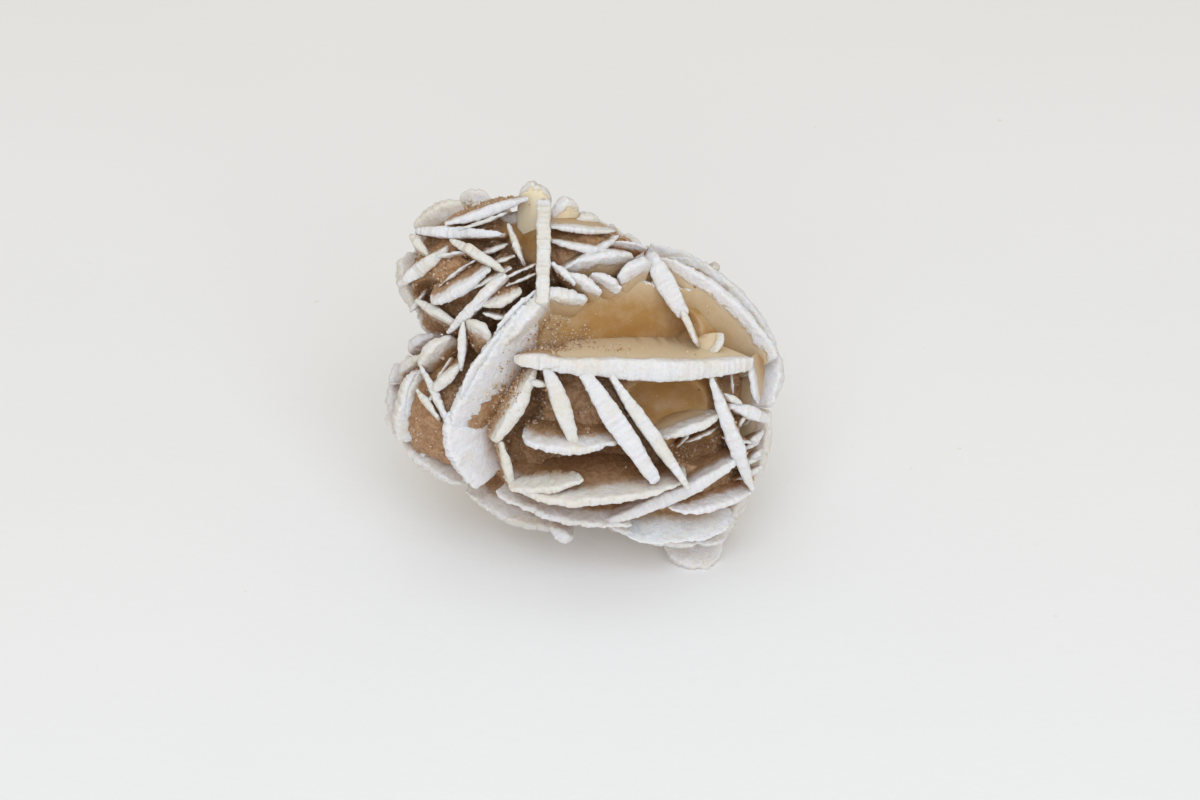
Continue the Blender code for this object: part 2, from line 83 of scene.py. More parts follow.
# The blades of the face, a group for each region: name, number of the blade's wave, the two ends of the
# free rim on the face's axes, how far the blade leans round that chord in degrees (0 stands straight out,
# 90 lies in the face), how far the rim bows out past the chord, how far the blade reaches back into the
# rose, the thickness of its rim, how deep the chalk reaches from the rim, and how sandy the blade is behind
# it (under 0: how pale).
FACE_BLADES = {
    "lattice": (
        ("long shelf", 0, (-3.4, 1.5, 13.2), (18.0, 1.5, 7.6), 20, 3.2, 9, 2.4, 1.3, -0.55),
        ("shelf end", 1, (-7.6, 1.9, 12.8), (-2.0, 1.6, 13.8), 12, 1.2, 6, 1.7, 1.3, 0.3),
        ("slat one", 2, (-4.0, 1.4, 13.2), (-0.8, -7.8, 12.6), -6, 1.4, 6, 2.0, 1.3, 0.25),
        ("slat two", 3, (-0.4, 1.2, 13.4), (7.9, -11.6, 12.0), 0, 1.6, 6, 2.3, 1.3, 0.1),
        ("slat three", 4, (2.6, 0.5, 13.2), (11.4, -12.2, 10.5), -4, 1.6, 6, 1.5, 1.1, 0.05),
        ("inner shelf", 5, (-6.9, -6.5, 11.2), (3.6, -7.0, 12.0), 32, 2.6, 5, 1.1, 2.3, 0.6),
        ("left slat", 6, (-5.2, 0.6, 12.0), (-9.7, -7.3, 11.0), -22, 1.4, 5, 1.6, 2.0, 0.7),
        ("left strip", 7, (-8.9, -7.0, 11.2), (-7.7, -12.3, 9.0), -8, 0.8, 5, 1.0, 1.2, 0.7),
        ("smile shelf", 8, (-8.8, -10.8, 8.0), (11.0, -10.6, 8.5), 30, 6.1, 8, 1.0, 2.9, 0.6),
        ("smile chip", 9, (-8.2, -12.0, 10.0), (-0.2, -11.2, 12.4), 36, 1.4, 2.4, 1.0, 2.4, 0.5),
        ("long diagonal", 10, (1.4, -16.2, 7.0), (17.6, -8.3, 5.5), 22, 2.4, 6, 1.6, 2.2, 0.5),
        ("grey shelf", 11, (-9.4, -12.4, 6.5), (5.0, -16.0, 7.0), 42, 2.3, 6, 0.9, 2.3, 0.6),
        ("low right shelf", 12, (9.2, -14.4, 7.5), (18.3, -12.3, 3.0), 35, 1.9, 6, 0.8, 1.9, 0.5),
        ("white apron", 13, (2.6, -16.3, 5.5), (15.4, -17.8, 1.8), 52, 1.6, 7, 1.0, 4.2, 0.3),
    ),
    "right": (
        ("foot", 14, (8.6, -18.4, -1.4), (15.4, -19.1, -1.8), 76, 2.7, 7, 2.4, 6.0, 0.0),
        ("right edge low", 15, (12.9, -20.6, -2.4), (18.4, -11.2, -0.4), 55, 1.0, 6, 1.6, 1.6, -0.6),
        ("right edge high", 16, (18.3, -12.0, -0.5), (20.3, -4.0, 0.5), 55, 1.0, 6, 1.4, 1.6, -0.6),
        ("right slat", 17, (13.8, -0.3, 10.0), (18.5, -12.6, 3.5), 6, 1.3, 6, 1.7, 1.2, 0.4),
        ("right shelf", 18, (8.4, -6.5, 10.0), (14.8, -4.1, 8.0), 20, 1.4, 7, 1.1, 2.3, -0.3),
        ("hair blade one", 19, (10.1, -7.6, 8.0), (12.1, -5.3, 7.5), 10, 0.6, 3, 0.4, 0.8, 0.5),
        ("hair blade two", 20, (11.1, -7.1, 8.3), (14.7, -5.4, 6.6), 12, 0.8, 3, 0.4, 0.8, 0.5),
        ("block", 21, (16.0, -3.2, 7.4), (20.3, -4.8, 3.5), -6, 0.9, 5, 1.5, 1.8, -0.2),
        ("block cap", 22, (15.2, -1.9, 8.4), (17.1, -3.0, 7.0), -10, 0.6, 4, 0.8, 1.4, 0.4),
        ("right chip one", 23, (16.9, -5.4, 6.0), (17.7, -4.1, 5.5), 0, 0.5, 3, 0.5, 1.0, 0.5),
        ("right chip two", 24, (17.2, -8.1, 5.0), (19.7, -5.9, 3.0), 14, 0.8, 4, 0.9, 1.2, 0.5),
        ("right chip three", 25, (17.5, -9.7, 4.5), (19.4, -7.9, 2.5), 14, 0.8, 4, 0.8, 1.2, 0.5),
        ("right chip four", 26, (17.3, -11.1, 4.0), (19.3, -9.7, 2.0), 14, 0.8, 4, 0.7, 1.2, 0.5),
        ("hook", 27, (18.0, 1.7, 7.4), (18.9, -2.9, 5.0), 22, 0.8, 4, 0.7, 1.0, 0.0),
    ),
    "petal": (
        ("honey wall", 28, (-7.8, 5.4, 10.0), (13.0, 8.6, 3.8), -66, 3.4, 9, 1.4, 0.08, 0.0),
        ("rib", 29, (7.0, 13.4, 5.8), (10.9, 6.6, 7.6), 4, 1.2, 5, 2.2, 1.3, -0.4),
        ("petal one", 30, (8.4, 12.8, 5.0), (20.8, 2.1, 3.0), -60, 2.3, 9, 1.3, 1.35, -0.3),
        ("petal two", 31, (9.4, 13.2, 1.5), (21.6, 0.2, -0.5), -74, 3.2, 9, 1.1, 1.4, -0.3),
        ("petal three", 32, (7.6, 14.4, 1.0), (17.3, 8.7, 0.5), -70, 1.4, 7, 0.7, 1.3, -0.4),
        ("petal four", 33, (12.0, 12.2, -3.0), (21.6, 0.6, -4.0), -82, 2.0, 9, 1.6, 1.8, -0.5),
        ("petal foot", 34, (20.8, 3.2, -1.0), (20.2, -3.3, 1.0), -70, 1.5, 7, 2.0, 2.4, -0.4),
        ("cavity chip", 35, (14.1, 2.5, 7.8), (15.1, 4.7, 6.8), 50, 0.6, 3, 0.6, 1.0, -0.5),
        ("rib tail", 84, (10.2, 8.4, 7.2), (12.3, 3.3, 8.6), 4, 0.8, 6, 0.8, 1.0, -0.3),
    ),
    "lip": (
        ("lip upper", 36, (-9.6, 3.0, 12.2), (-3.4, 9.4, 11.8), -26, 1.0, 6, 2.0, 2.3, 0.2),
        ("lip end", 37, (-5.4, 9.0, 11.9), (0.3, 8.4, 10.8), -34, 0.9, 7, 1.4, 1.3, -0.1),
        ("lip middle", 38, (-14.6, -5.6, 9.5), (-6.7, 7.5, 13.0), -48, 1.2, 6, 1.8, 5.0, 0.8),
        ("lip lower", 39, (-11.7, -12.0, 5.5), (-14.8, -3.9, 10.0), -70, 1.6, 6, 1.6, 4.8, 0.8),
    ),
    "top": (
        ("post", 40, (-4.4, 19.2, 8.0), (-4.4, 7.6, 13.2), 0, 1.2, 6, 1.5, 2.4, 0.4),
        ("bar one", 41, (-3.7, 16.2, 8.0), (3.2, 15.9, 6.0), 18, 1.0, 5, 0.8, 1.2, 0.2),
        ("bar two", 42, (-3.7, 14.5, 9.5), (4.9, 13.2, 7.5), 10, 1.2, 5, 0.95, 1.3, 0.2),
        ("bar three", 43, (-2.0, 11.6, 10.6), (3.9, 15.4, 6.5), 14, 1.0, 4, 0.8, 1.2, 0.1),
        ("bar four", 44, (-3.6, 12.3, 11.0), (-0.9, 10.0, 11.8), -14, 0.8, 4, 0.8, 1.2, 0.7),
        ("bar five", 45, (-1.6, 11.0, 11.4), (1.9, 9.0, 11.2), -30, 1.0, 4, 1.0, 1.2, 0.1),
        ("bar six", 46, (0.7, 11.0, 10.4), (4.0, 9.5, 10.2), -38, 0.9, 3, 0.9, 1.2, 0.0),
        ("fan", 47, (-1.7, 11.9, 10.4), (5.6, 12.9, 7.8), -40, 1.4, 4, 0.9, 1.5, 0.0),
        ("square chip", 48, (3.8, 10.6, 9.6), (7.3, 12.4, 7.4), -42, 1.3, 3, 1.2, 1.5, -0.2),
        ("top lump", 49, (-7.2, 19.7, 2.5), (-3.6, 19.4, 3.0), -82, 1.7, 9, 2.4, 0.45, -1.0),
        ("top block", 50, (-3.5, 17.6, 5.0), (-0.6, 18.4, 3.5), -60, 1.6, 5, 1.6, 0.9, -0.8),
        ("top block low", 51, (-0.9, 16.9, 4.5), (1.6, 16.7, 3.5), -60, 1.2, 5, 1.3, 0.9, -0.8),
        ("post head", 85, (-4.4, 19.3, 8.0), (-4.4, 15.4, 9.8), 0, 0.6, 5, 1.5, 2.4, 0.4),
    ),
    "crest": (
        ("crest one", 52, (-15.1, 16.7, 6.0), (-6.2, 19.4, 5.0), 10, 1.6, 6, 1.2, 1.25, 0.8),
        ("crest two", 53, (-18.7, 15.8, 3.0), (-9.2, 15.4, 8.5), -6, 1.5, 6, 1.35, 1.25, 0.8),
        ("crest three", 54, (-14.5, 14.9, 7.5), (-8.5, 11.2, 10.8), -8, 1.3, 5, 1.1, 1.25, 0.8),
        ("crest four", 55, (-20.2, 10.1, 3.5), (-14.8, 13.8, 7.0), 6, 1.3, 5, 1.6, 1.25, 0.8),
        ("crest five", 56, (-19.1, 15.4, 3.0), (-17.1, 13.2, 5.5), -10, 0.8, 4, 1.0, 1.25, 0.8),
        ("crest six", 57, (-16.7, 8.0, 7.8), (-10.1, 11.4, 10.4), 28, 1.4, 5, 1.3, 1.25, 0.8),
        ("crest seven", 58, (-8.3, 16.5, 7.5), (-6.6, 12.4, 10.2), 0, 0.9, 4, 0.8, 1.25, 0.8),
        ("crest eight", 59, (-10.1, 16.8, 6.5), (-8.3, 18.1, 5.5), 10, 0.5, 3, 0.5, 1.25, 0.8),
        ("crest nine", 60, (-10.9, 13.2, 8.5), (-8.2, 14.3, 8.0), 10, 0.5, 3, 0.5, 1.25, 0.8),
        ("crest ten", 61, (-9.6, 12.2, 9.3), (-7.4, 13.0, 9.3), 10, 0.5, 3, 0.4, 1.25, 0.8),
        ("left shoulder", 62, (-18.2, 7.2, 1.0), (-19.8, 13.4, 0.0), -62, 1.5, 7, 2.2, 3.5, 0.4),
        ("left brow", 63, (-18.5, 16.2, 0.5), (-13.5, 19.0, 2.0), -70, 1.4, 7, 1.6, 3.0, 0.2),
        ("back sail", 64, (-14.0, 19.2, -1.5), (-10.2, 19.4, -1.0), -84, 1.4, 8, 0.9, 1.2, -0.4),
        ("ridge one", 65, (-12.1, 7.3, 11.0), (-8.3, 10.9, 11.4), -16, 1.0, 5, 1.2, 1.25, 0.8),
        ("ridge two", 66, (-14.7, 4.7, 8.8), (-9.2, 9.7, 11.2), -6, 1.2, 5, 1.3, 1.25, 0.8),
        ("ridge three", 67, (-10.8, 7.6, 11.4), (-6.7, 9.2, 11.8), 28, 1.2, 4, 0.9, 1.25, 0.8),
        ("ridge four", 68, (-10.9, 6.8, 11.3), (-8.3, 6.2, 12.2), 12, 0.6, 3, 0.5, 1.25, 0.8),
        ("ridge five", 69, (-18.2, 8.3, 5.0), (-13.8, 5.7, 8.6), -10, 1.0, 5, 1.1, 1.25, 0.8),
        ("ridge six", 70, (-12.7, 5.6, 10.6), (-10.0, 4.4, 12.2), -46, 1.1, 3, 1.1, 1.25, 0.8),
        ("ridge seven", 71, (-19.0, 7.1, 3.0), (-17.7, 8.8, 4.5), 0, 0.6, 3, 0.6, 1.25, 0.8),
        ("crest backing", 86, (-11.0, 17.0, 1.0), (-5.2, 18.2, 2.0), -84, 0.5, 7, 2.2, 1.2, 0.8),
    ),
    "left": (
        ("left arch", 72, (-17.8, 0.9, 7.0), (-14.4, 4.4, 8.4), -42, 1.3, 5, 1.4, 1.8, 0.7),
        ("left line", 73, (-17.7, 1.0, 7.6), (-14.5, -5.2, 9.8), -8, 0.9, 5, 0.9, 1.3, 0.8),
        ("left stick", 74, (-13.0, 5.9, 10.6), (-13.3, 0.6, 10.8), 4, 0.8, 4, 1.0, 1.3, 0.8),
        ("left bar", 75, (-16.5, -1.7, 8.8), (-13.2, 1.2, 10.6), 14, 1.0, 4, 1.3, 1.3, 0.8),
        ("left sliver", 76, (-18.2, -1.4, 7.0), (-15.8, -4.4, 9.0), -4, 0.8, 4, 0.8, 1.2, 0.8),
        ("left cheek", 77, (-20.2, -6.9, 2.0), (-18.0, 0.8, 5.5), -64, 1.6, 6, 1.8, 2.2, 1.2),
        ("left outer", 78, (-20.4, -6.8, -3.0), (-20.8, 1.4, -2.5), -78, 1.2, 8, 2.0, 3.2, 0.6),
        ("left hem", 79, (-20.0, -7.2, -1.0), (-13.6, -11.8, 1.5), 62, 1.0, 6, 1.4, 2.0, 0.9),
        ("under shelf", 80, (-12.8, -12.6, -0.5), (-1.1, -16.4, 0.0), 66, 1.9, 8, 1.5, 2.0, 0.6),
        ("under knob", 81, (-3.7, -16.3, 4.0), (-1.2, -17.8, 3.0), 30, 1.0, 5, 1.5, 3.0, 0.4),
        ("left brim", 82, (-20.2, 0.4, 0.5), (-17.4, 2.2, 4.5), -30, 1.0, 5, 1.3, 1.5, 0.7),
        ("left brim high", 83, (-19.0, 2.6, -0.5), (-16.6, 4.6, 3.0), -45, 1.2, 5, 1.4, 1.6, 0.7),
    ),
    "leaf": (
        ("petal leaf one", 90, (9.0, 13.3, 3.4), (20.6, 2.4, 1.4), -66, 2.8, 8, 0.4, 1.0, 0.1),
        ("petal leaf two", 91, (9.6, 12.9, -0.4), (21.5, 0.9, -1.8), -78, 2.9, 8, 0.4, 1.0, 0.2),
        ("petal leaf three", 92, (10.8, 12.6, -1.6), (21.3, 1.4, -3.0), -80, 2.5, 8, 0.4, 1.2, 0.2),
        ("lip leaf one", 93, (-13.2, -2.6, 11.2), (-8.6, 4.8, 12.9), -40, 1.4, 4, 0.5, 1.3, 0.7),
        ("lip leaf two", 94, (-9.6, 4.6, 12.4), (-5.2, 9.2, 12.2), -20, 1.2, 4, 0.5, 1.3, 0.6),
        ("lip leaf three", 95, (-14.2, -6.5, 8.8), (-10.6, 1.5, 11.8), -58, 1.0, 4, 0.45, 1.5, 0.8),
        ("crest leaf one", 96, (-13.6, 16.0, 7.6), (-8.2, 17.7, 6.6), 4, 0.8, 3, 0.4, 0.9, 0.8),
        ("crest leaf two", 97, (-17.6, 12.6, 5.6), (-12.6, 13.5, 8.6), -14, 0.8, 3, 0.4, 0.9, 0.8),
        ("crest leaf three", 98, (-12.9, 9.0, 9.8), (-7.8, 11.6, 10.4), 22, 0.7, 3, 0.4, 0.9, 0.8),
        ("crest leaf four", 99, (-15.7, 9.8, 7.4), (-11.6, 12.6, 9.4), -4, 0.7, 3, 0.35, 0.9, 0.8),
        ("top leaf three", 111, (2.0, 14.6, 6.8), (6.8, 13.9, 6.2), -30, 0.8, 3, 0.4, 0.9, 0.4),
        ("slat bar", 100, (-5.9, -0.6, 12.2), (-4.0, -0.9, 12.6), 10, 0.4, 3, 0.8, 0.9, 0.4),
        ("hook leaf", 101, (16.0, 0.3, 7.0), (16.2, -1.9, 6.4), 4, 0.4, 3, 0.35, 0.7, 0.3),
        ("ridge leaf one", 102, (-8.9, 10.4, 10.9), (-4.7, 12.3, 10.6), 6, 0.4, 3, 0.3, 0.5, 0.7),
        ("ridge leaf two", 103, (-8.3, 9.7, 11.2), (-4.6, 11.3, 10.9), 6, 0.4, 3, 0.3, 0.5, 0.7),
        ("slat leaf one", 110, (0.9, -0.2, 13.0), (7.5, -10.6, 11.8), -8, 0.9, 3, 0.35, 0.9, 0.4),
        ("right leaf one", 105, (15.4, -6.8, 7.2), (18.8, -7.2, 4.8), 10, 0.8, 3, 0.35, 0.9, 0.5),
        ("right leaf two", 106, (15.9, -9.6, 6.2), (19.3, -8.8, 3.4), 18, 0.8, 3, 0.35, 0.9, 0.5),
        ("apron leaf", 107, (4.4, -16.9, 5.4), (16.4, -15.4, 2.8), 60, 2.4, 5, 0.4, 3.0, 0.3),
        ("left leaf one", 108, (-19.4, -4.4, 4.2), (-16.4, 2.6, 6.4), -50, 1.0, 4, 0.45, 1.2, 0.9),
        ("left leaf two", 109, (-16.9, -3.4, 8.0), (-14.4, 1.9, 9.2), -20, 0.7, 3, 0.4, 1.0, 0.9),
    ),
}
LEAVES = "leaf"  # the group of thin blades that the solid goes without

# How ragged the rims of a group are, and how strongly ribs comb its faces.
GROUP_TRAITS = {"lip": (1.2, 1.0), "petal": (0.8, 0.15), LEAVES: (0.7, 0.3)}
USUAL_TRAITS = (1.0, 0.3)

# The rim's thickness at the ends of the chord, as a share of its thickness at the middle.
RIM_TAPER = 0.35
TAPERS = {"post": 0.95, "post head": 0.95, "long shelf": 0.6, "slat two": 0.5, "rib": 0.6}

# The heart's lumps, as (centre, radii) on the face's axes, and the rows and columns of each lump's grid.
HEART_LUMPS = (
    ((2.0, -2.0, -1.5), (15.5, 13.5, 11.5)),
    ((4.5, 3.5, -3.5), (13.2, 10.0, 10.5)),
    ((-11.5, 11.0, -1.0), (7.5, 7.2, 9.0)),
    ((-12.5, -3.0, -1.0), (8.0, 7.0, 9.5)),
    ((9.0, -10.5, -3.0), (9.0, 7.0, 8.5)),
    ((-1.5, 12.5, 1.5), (7.0, 4.6, 6.5)),
    ((-0.5, -6.3, -7.0), (11.5, 7.0, 7.5)),
)
HEART_GRID = (98, 132)
HEART_CHALK = 0.3
HEART_DEPTH = 4.0  # how far from a rim the heart counts as being
LUMP_SKIN = 1.05  # how far out of a lump, in squared shares of its radii, a place still counts as inside
BACK_TONE = (0.0, -0.6)  # the outward part of the normal where the tone starts to rise, and where it is 1
CLEAR_EDGE = (1.25, 0.7)  # the squared shares of the radii where a clear place ends, and where it is whole

# Hollows in the heart, dug in from the face: (centre, radii) on the face's axes.
HOLLOWS = (
    ((4.5, 5.4, 10.5), (12.0, 4.8, 8.5)),
    ((-7.2, -2.5, 11.0), (3.2, 5.5, 6.5)),
    ((0.0, -8.6, 10.5), (8.0, 1.9, 6.0)),
    ((9.5, -3.0, 9.5), (5.0, 3.2, 5.0)),
    ((12.5, -8.0, 8.0), (3.2, 2.0, 6.0)),
    ((-11.4, 14.0, 9.0), (2.6, 1.6, 5.0)),
    ((-17.0, 9.2, 6.0), (1.8, 1.5, 5.0)),
)

# Where sand has gathered on clear gypsum too: (centre, radii) on the face's axes, and how thickly it lies.
SAND_SPOTS = (
    (((-3.4, 4.4, 8.0), (4.6, 2.4, 5.0)), 2.2),
    (((1.8, 2.6, 7.5), (5.0, 1.2, 4.0)), 1.0),
    (((-8.0, -1.5, 9.0), (2.2, 5.0, 5.0)), 0.8),
)

# Where the heart is clear gypsum instead of sand, on the face's front: (centre, radii) across and up the
# face.
CLEAR_PLACES = (((6.0, 6.0), (13.5, 5.6)), ((10.0, -3.0), (7.0, 4.5)), ((-5.5, 17.0), (3.5, 4.5)))

# Blades outside the face stand in families of nearly parallel plates: the families' normals, how far a
# blade's normal sways from its family's, and how far it is turned so that the blade stands up on the heart.
FAMILIES = ((0.2, 0.3, 0.93), (0.9, -0.3, 0.3), (-0.5, 0.8, 0.2), (0.6, 0.7, -0.4))
FAMILY_SWAY = (-0.25, 0.25)
FAMILY_STAND = 0.62

# The large blades of the sides and back, and the small ones between them: the ranges of half length, bulge,
# reach and rim, how far the chord is lifted off the heart, and chalk, sandiness, raggedness and comb.
SIDE_SPACING = 5.6
SIDE_TURN_LIMIT = -0.38  # how far a place must face back for the large blades to stand there
SIDE_SEED = 7
SIDE_SIZES = ((3.2, 6.4), (1.2, 2.4), (5.0, 7.5), (0.8, 1.6))
SIDE_LIFT = 0.8
SIDE_TRAITS = (1.6, 0.6, 1.0, 0.4)
SMALL_SIZES = ((0.9, 2.6), (0.5, 1.2), (1.5, 2.6), (0.3, 0.75))
SMALL_LIFT = (0.0, 0.5)
SMALL_TRAITS = (0.9, 0.9, 0.7, 0.3)

# The blades that the rose rests on besides its foot: the two ends of each rim, across and back, on the
# ground.
REST_BLADES = ((-9.8, 2.4, -4.2, -0.8), (-3.6, 9.8, 3.6, 8.4))
REST_HEIGHT = 0.9
REST_BULGE = 1.5
REST_REACH = 8.0
REST_RIM = 2.2
REST_TRAITS = (2.5, 0.4, 0.5, 0.2)

# A blade's outline: the power of the sine that bows its rim, and the slow waves in it, as (height, waves in
# a round, shift from blade to blade).
BULGE_POWER = 1.3
OUTLINE_WAVES = ((0.04, 3, 1.7), (0.025, 5, 2.9))

# The section of a blade, from its rim inwards: depth from the rim, and the share of the rim's half
# thickness there. Past it, the section ends in a thinner back edge.
SECTION = (
    (0.02, 0.56), (0.11, 0.86), (0.28, 0.98), (0.48, 1.00), (0.72, 0.99), (1.00, 0.97), (1.35, 0.94),
    (1.90, 0.89), (2.80, 0.83), (4.20, 0.79), (6.20, 0.75),
)
SECTION_SHARE = 0.8  # how much of the blade's reach the section may fill
SECTION_ROOM = 1.25  # how much wider than the section a row must be to hold it whole
BACK_EDGE = (0.97, 0.5)  # the share of the width, and of the rim's half thickness, near the back edge
RIM_CROWN = 0.04  # how far the middle of the rim stands proud
LEAST_ROWS = 9
ROW_BULGE = 0.5  # added to the bulge when the length of the rim is reckoned
ROW_CROWDING = 0.12  # how much closer the rows stand near the ends of the chord
TAPER_POWER = 1.6
END_ROUNDING = 0.25  # the sine of the angle where the rim starts to round off to its end

# The unevenness of the blades. Each layer of noise is (strength, size, seed).
RIM_SWINGS = ((0.10, 2.6, 1), (0.04, 1.0, 2), (0.09, 0.5, 3), (0.13, 0.24, 17))
RIM_BITES = (0.25, 1.7, 14)
BITE_RANGE = (0.35, 0.8)  # the noise where a bite starts and where it is deepest
RIM_OUTWARD = 0.16  # the furthest that a swing moves the rim outwards
RIM_SWING_DEPTH = 0.8  # how deep the swings of the rim are felt
SHORT_ROUGHNESS = (0.35, 4.0)  # the raggedness of the shortest rims, and how much length adds to it
SWELLS_OVER = ((0.3, 0.8, 4), (0.25, 3.0, 5))
SWELLS_UNDER = ((0.3, 0.8, 6), (0.25, 3.0, 7))
SWELL_STRENGTH = 0.25
SWELL_PLACE = (0.3, 0.8)  # the depth where the swelling is strongest, and how wide it spreads
RIBS = ((0.13, 0.27, 18),)
RIB_DEPTH = 2.4
COMB_PATCHES = ((1.0, 3.0, 16),)
COMB_RANGE = (-0.2, 0.4)
COMB_LEAST = 0.25  # the share of the comb that is left between its patches
LANE_SHIFT = 7.3  # how far apart in the noise the ribs of one blade and the next are taken
WARP = ((0.16, 5.0, 15),)
CRUMBS = ((0.05, 1.0, 8), (0.08, 0.5, 9), (0.05, 0.28, 19))
CLEAR_RANGE = (0.8, 1.3)  # the depth, in chalk reaches, where clear gypsum starts and where it is whole
CLEAR_CALM = 0.85  # how much smoother clear gypsum is
HEART_BUMPS = ((0.35, 2.4, 11), (0.22, 1.0, 12), (0.12, 0.5, 13))
HEART_CALM = 0.7

# Fusing: the smallest island kept, in cubic metres, the block of ground that cuts the feet, and the angle
# past which an edge is sharp.
LEAST_ISLAND = 0.02 * MM**3
GROUND_DEPTH = 0.05
GROUND_REACH = 0.1
SHARP_ANGLE = math.radians(55)

# The grains: where they may lie, and how they differ.
GRAIN_BARED = (0.7, 1.5)  # the depth, in chalk reaches, where grains start and where they lie thick
GRAIN_LEAST = 0.03
GRAIN_POWER = 1.5
GRAIN_PATCHES = ((1.0, 3.0, 21),)
GRAIN_PATCH_RANGE = (-0.6, 0.4)
GRAIN_SPOT_RANGE = (1.3, 0.2)
GRAIN_GROUND = 0.6 * MM
GRAIN_INWARD = -4 * MM  # surfaces that face the heart's centre more than this hold no grains
GRAIN_SPREAD = 0.35
GRAIN_LARGEST = 2.2  # the largest grain, as a share of the usual size
GRAIN_PUSH = (0.75, 1.25)
GRAIN_STRETCH = (0.65, 1.3)
GRAIN_RISE = 0.3  # how far a grain's middle stands out of the surface, as a share of its radius

# The lights, in metres: place, size, power and colour. The surroundings are warm and the lights cool.
SKY_COLOUR = (1.0, 0.87, 0.68, 1)
SKY_STRENGTH = 0.50
LIGHT_COLOUR = (0.74, 0.86, 1.0)
LIGHTS = {"overhead": ((-0.10, 0.10, 0.80), 0.60, 0.9), "front": ((0.06, -0.66, 0.56), 0.80, 6.7)}
TABLE_RADIUS = 1.5
TABLE_CORNERS = 128
SENSOR_WIDTH = 36.0  # in millimetres
NEAREST_SEEN = 0.01

# The materials: how far red, green and blue travel in gypsum, as shares of the reach, and how grains glow.
GYPSUM = "gypsum shell"
GYPSUM_IOR = 1.52
SCATTER = (1.0, 0.62, 0.36)
GRAIN_GLOW = 0.25
GRAIN_GLOW_REACH = 0.4 * MM
# The rays of the ambient occlusion that paints light and shade into the gypsum's colour.
PAINTED_SHADE_SAMPLES = 4
GLINT_SHIFT = (0.013, 0.007, 0.019)  # where the glints' noise is taken, so that it differs from the specks'

BLADE_FACTS = "middle chord forward half_length bulge reach rim wave chalk sand ragged comb taper"
Blade = namedtuple("Blade", BLADE_FACTS)


# ---------------------------------------------------------------- small tools


def on_face(points):
    """Points on the face's axes as places in the rose's frame: the axes times the coordinates, plus the
    centre."""
    return np.asarray(points, float) @ FACE_AXES + HEART_CENTRE


def unit(vector):
    """Vectors divided by their own lengths."""
    vector = np.asarray(vector, float)
    return vector / np.maximum(np.linalg.norm(vector, axis=-1, keepdims=True), 1e-9)


def smooth_step(low, high, value):
    """0 at low and before it, 1 at high and past it, and 3t^2 - 2t^3 between them."""
    t = np.clip((value - low) / (high - low), 0, 1)
    return t * t * (3 - 2 * t)


def noise(points, size, seed=0):
    """Smooth noise from -1 to 1. Space is cut in cubes of the given size, each corner gets a number by
    mixing the bits of its three indices, and a point takes the mean of its cube's eight corners, weighted
    by 3t^2 - 2t^3 along each axis."""
    scaled = np.asarray(points, float) / size + SEED_SHIFT * seed
    cell = np.floor(scaled).astype(np.int64)
    part = scaled - cell
    near = 1 - part * part * (3 - 2 * part)
    total = np.zeros(scaled.shape[:-1])
    for corner in itertools.product((0, 1), repeat=3):
        spread = (cell + corner) * INDEX_FACTORS
        key = spread[..., 0] ^ spread[..., 1] ^ spread[..., 2] ^ seed * SEED_FACTOR
        for shift, factor in BIT_MIXES:
            key = ((key ^ key >> shift) * factor) & 0xFFFFFFFF
        value = ((key ^ key >> 16) & 0xFFFF) / (0xFFFF / 2) - 1
        weight = np.where(np.array(corner) == 0, near, 1 - near)
        total += value * weight[..., 0] * weight[..., 1] * weight[..., 2]
    return total


# The numbers that mix the bits of the noise: factors of the three indices and of the seed, how far apart
# the seeds' noises are taken, and pairs of a shift and a factor.
INDEX_FACTORS = np.array((73856093, 19349663, 83492791))
SEED_FACTOR = 40503
SEED_SHIFT = 31.7
BIT_MIXES = ((13, 1274126177), (15, 668265263))


def layered(points, layers):
    """The sum of several layers of noise, each times its strength."""
    return sum(strength * noise(points, size, seed) for strength, size, seed in layers)


def faded(depth, middle, spread):
    """1 at the middle depth, falling on both sides as exp(-t^2), where t counts spreads from the middle."""
    return np.exp(-((depth - middle) / spread) ** 2)


def grid_normals(points):
    """Outward normals of a closed grid whose columns run round the shape: the cross product of the
    differences along the rows and round them, made unit length."""
    along = np.gradient(points, axis=0)
    around = np.roll(points, -1, axis=1) - np.roll(points, 1, axis=1)
    return unit(np.cross(along, around))


def closed_mesh(name, points, first, last, growth):
    """A closed mesh from a grid whose columns wrap round, with one point closing each end. Growth holds
    four values for each grid point: the depth from the blade's rim and the blade's tone, sandiness and
    chalk reach. They go to the corners of the faces."""
    rows, columns = points.shape[:2]
    vertices = np.concatenate([points.reshape(-1, 3), [first, last]]) * MM
    i, j = np.meshgrid(np.arange(rows - 1), np.arange(columns), indexing="ij")
    following = (j + 1) % columns
    quads = np.stack([i * columns + j, (i + 1) * columns + j, (i + 1) * columns + following,
                      i * columns + following], axis=-1).reshape(-1, 4)
    ring = np.arange(columns)
    turned = (ring + 1) % columns
    end = rows * columns
    bottom = (rows - 1) * columns
    start_fan = np.stack([ring, turned, np.full(columns, end)], axis=-1)
    end_fan = np.stack([bottom + turned, bottom + ring, np.full(columns, end + 1)], axis=-1)
    mesh = bpy.data.meshes.new(name)
    mesh.from_pydata(vertices.tolist(), [], quads.tolist() + start_fan.tolist() + end_fan.tolist())
    corners = np.empty(len(mesh.loops), np.int32)
    mesh.loops.foreach_get("vertex_index", corners)
    facts = np.concatenate([growth.reshape(-1, 4), [growth[0].mean(axis=0), growth[-1].mean(axis=0)]])
    layer = mesh.attributes.new("growth", "FLOAT_COLOR", "CORNER")
    layer.data.foreach_set("color", facts[corners].astype(np.float32).ravel())
    return mesh


def growth_values(depth, tone, sand, chalk):
    """The four growth values of every grid point, from arrays of the grid's shape or single numbers."""
    return np.stack(np.broadcast_arrays(depth, tone, sand, chalk), axis=-1)


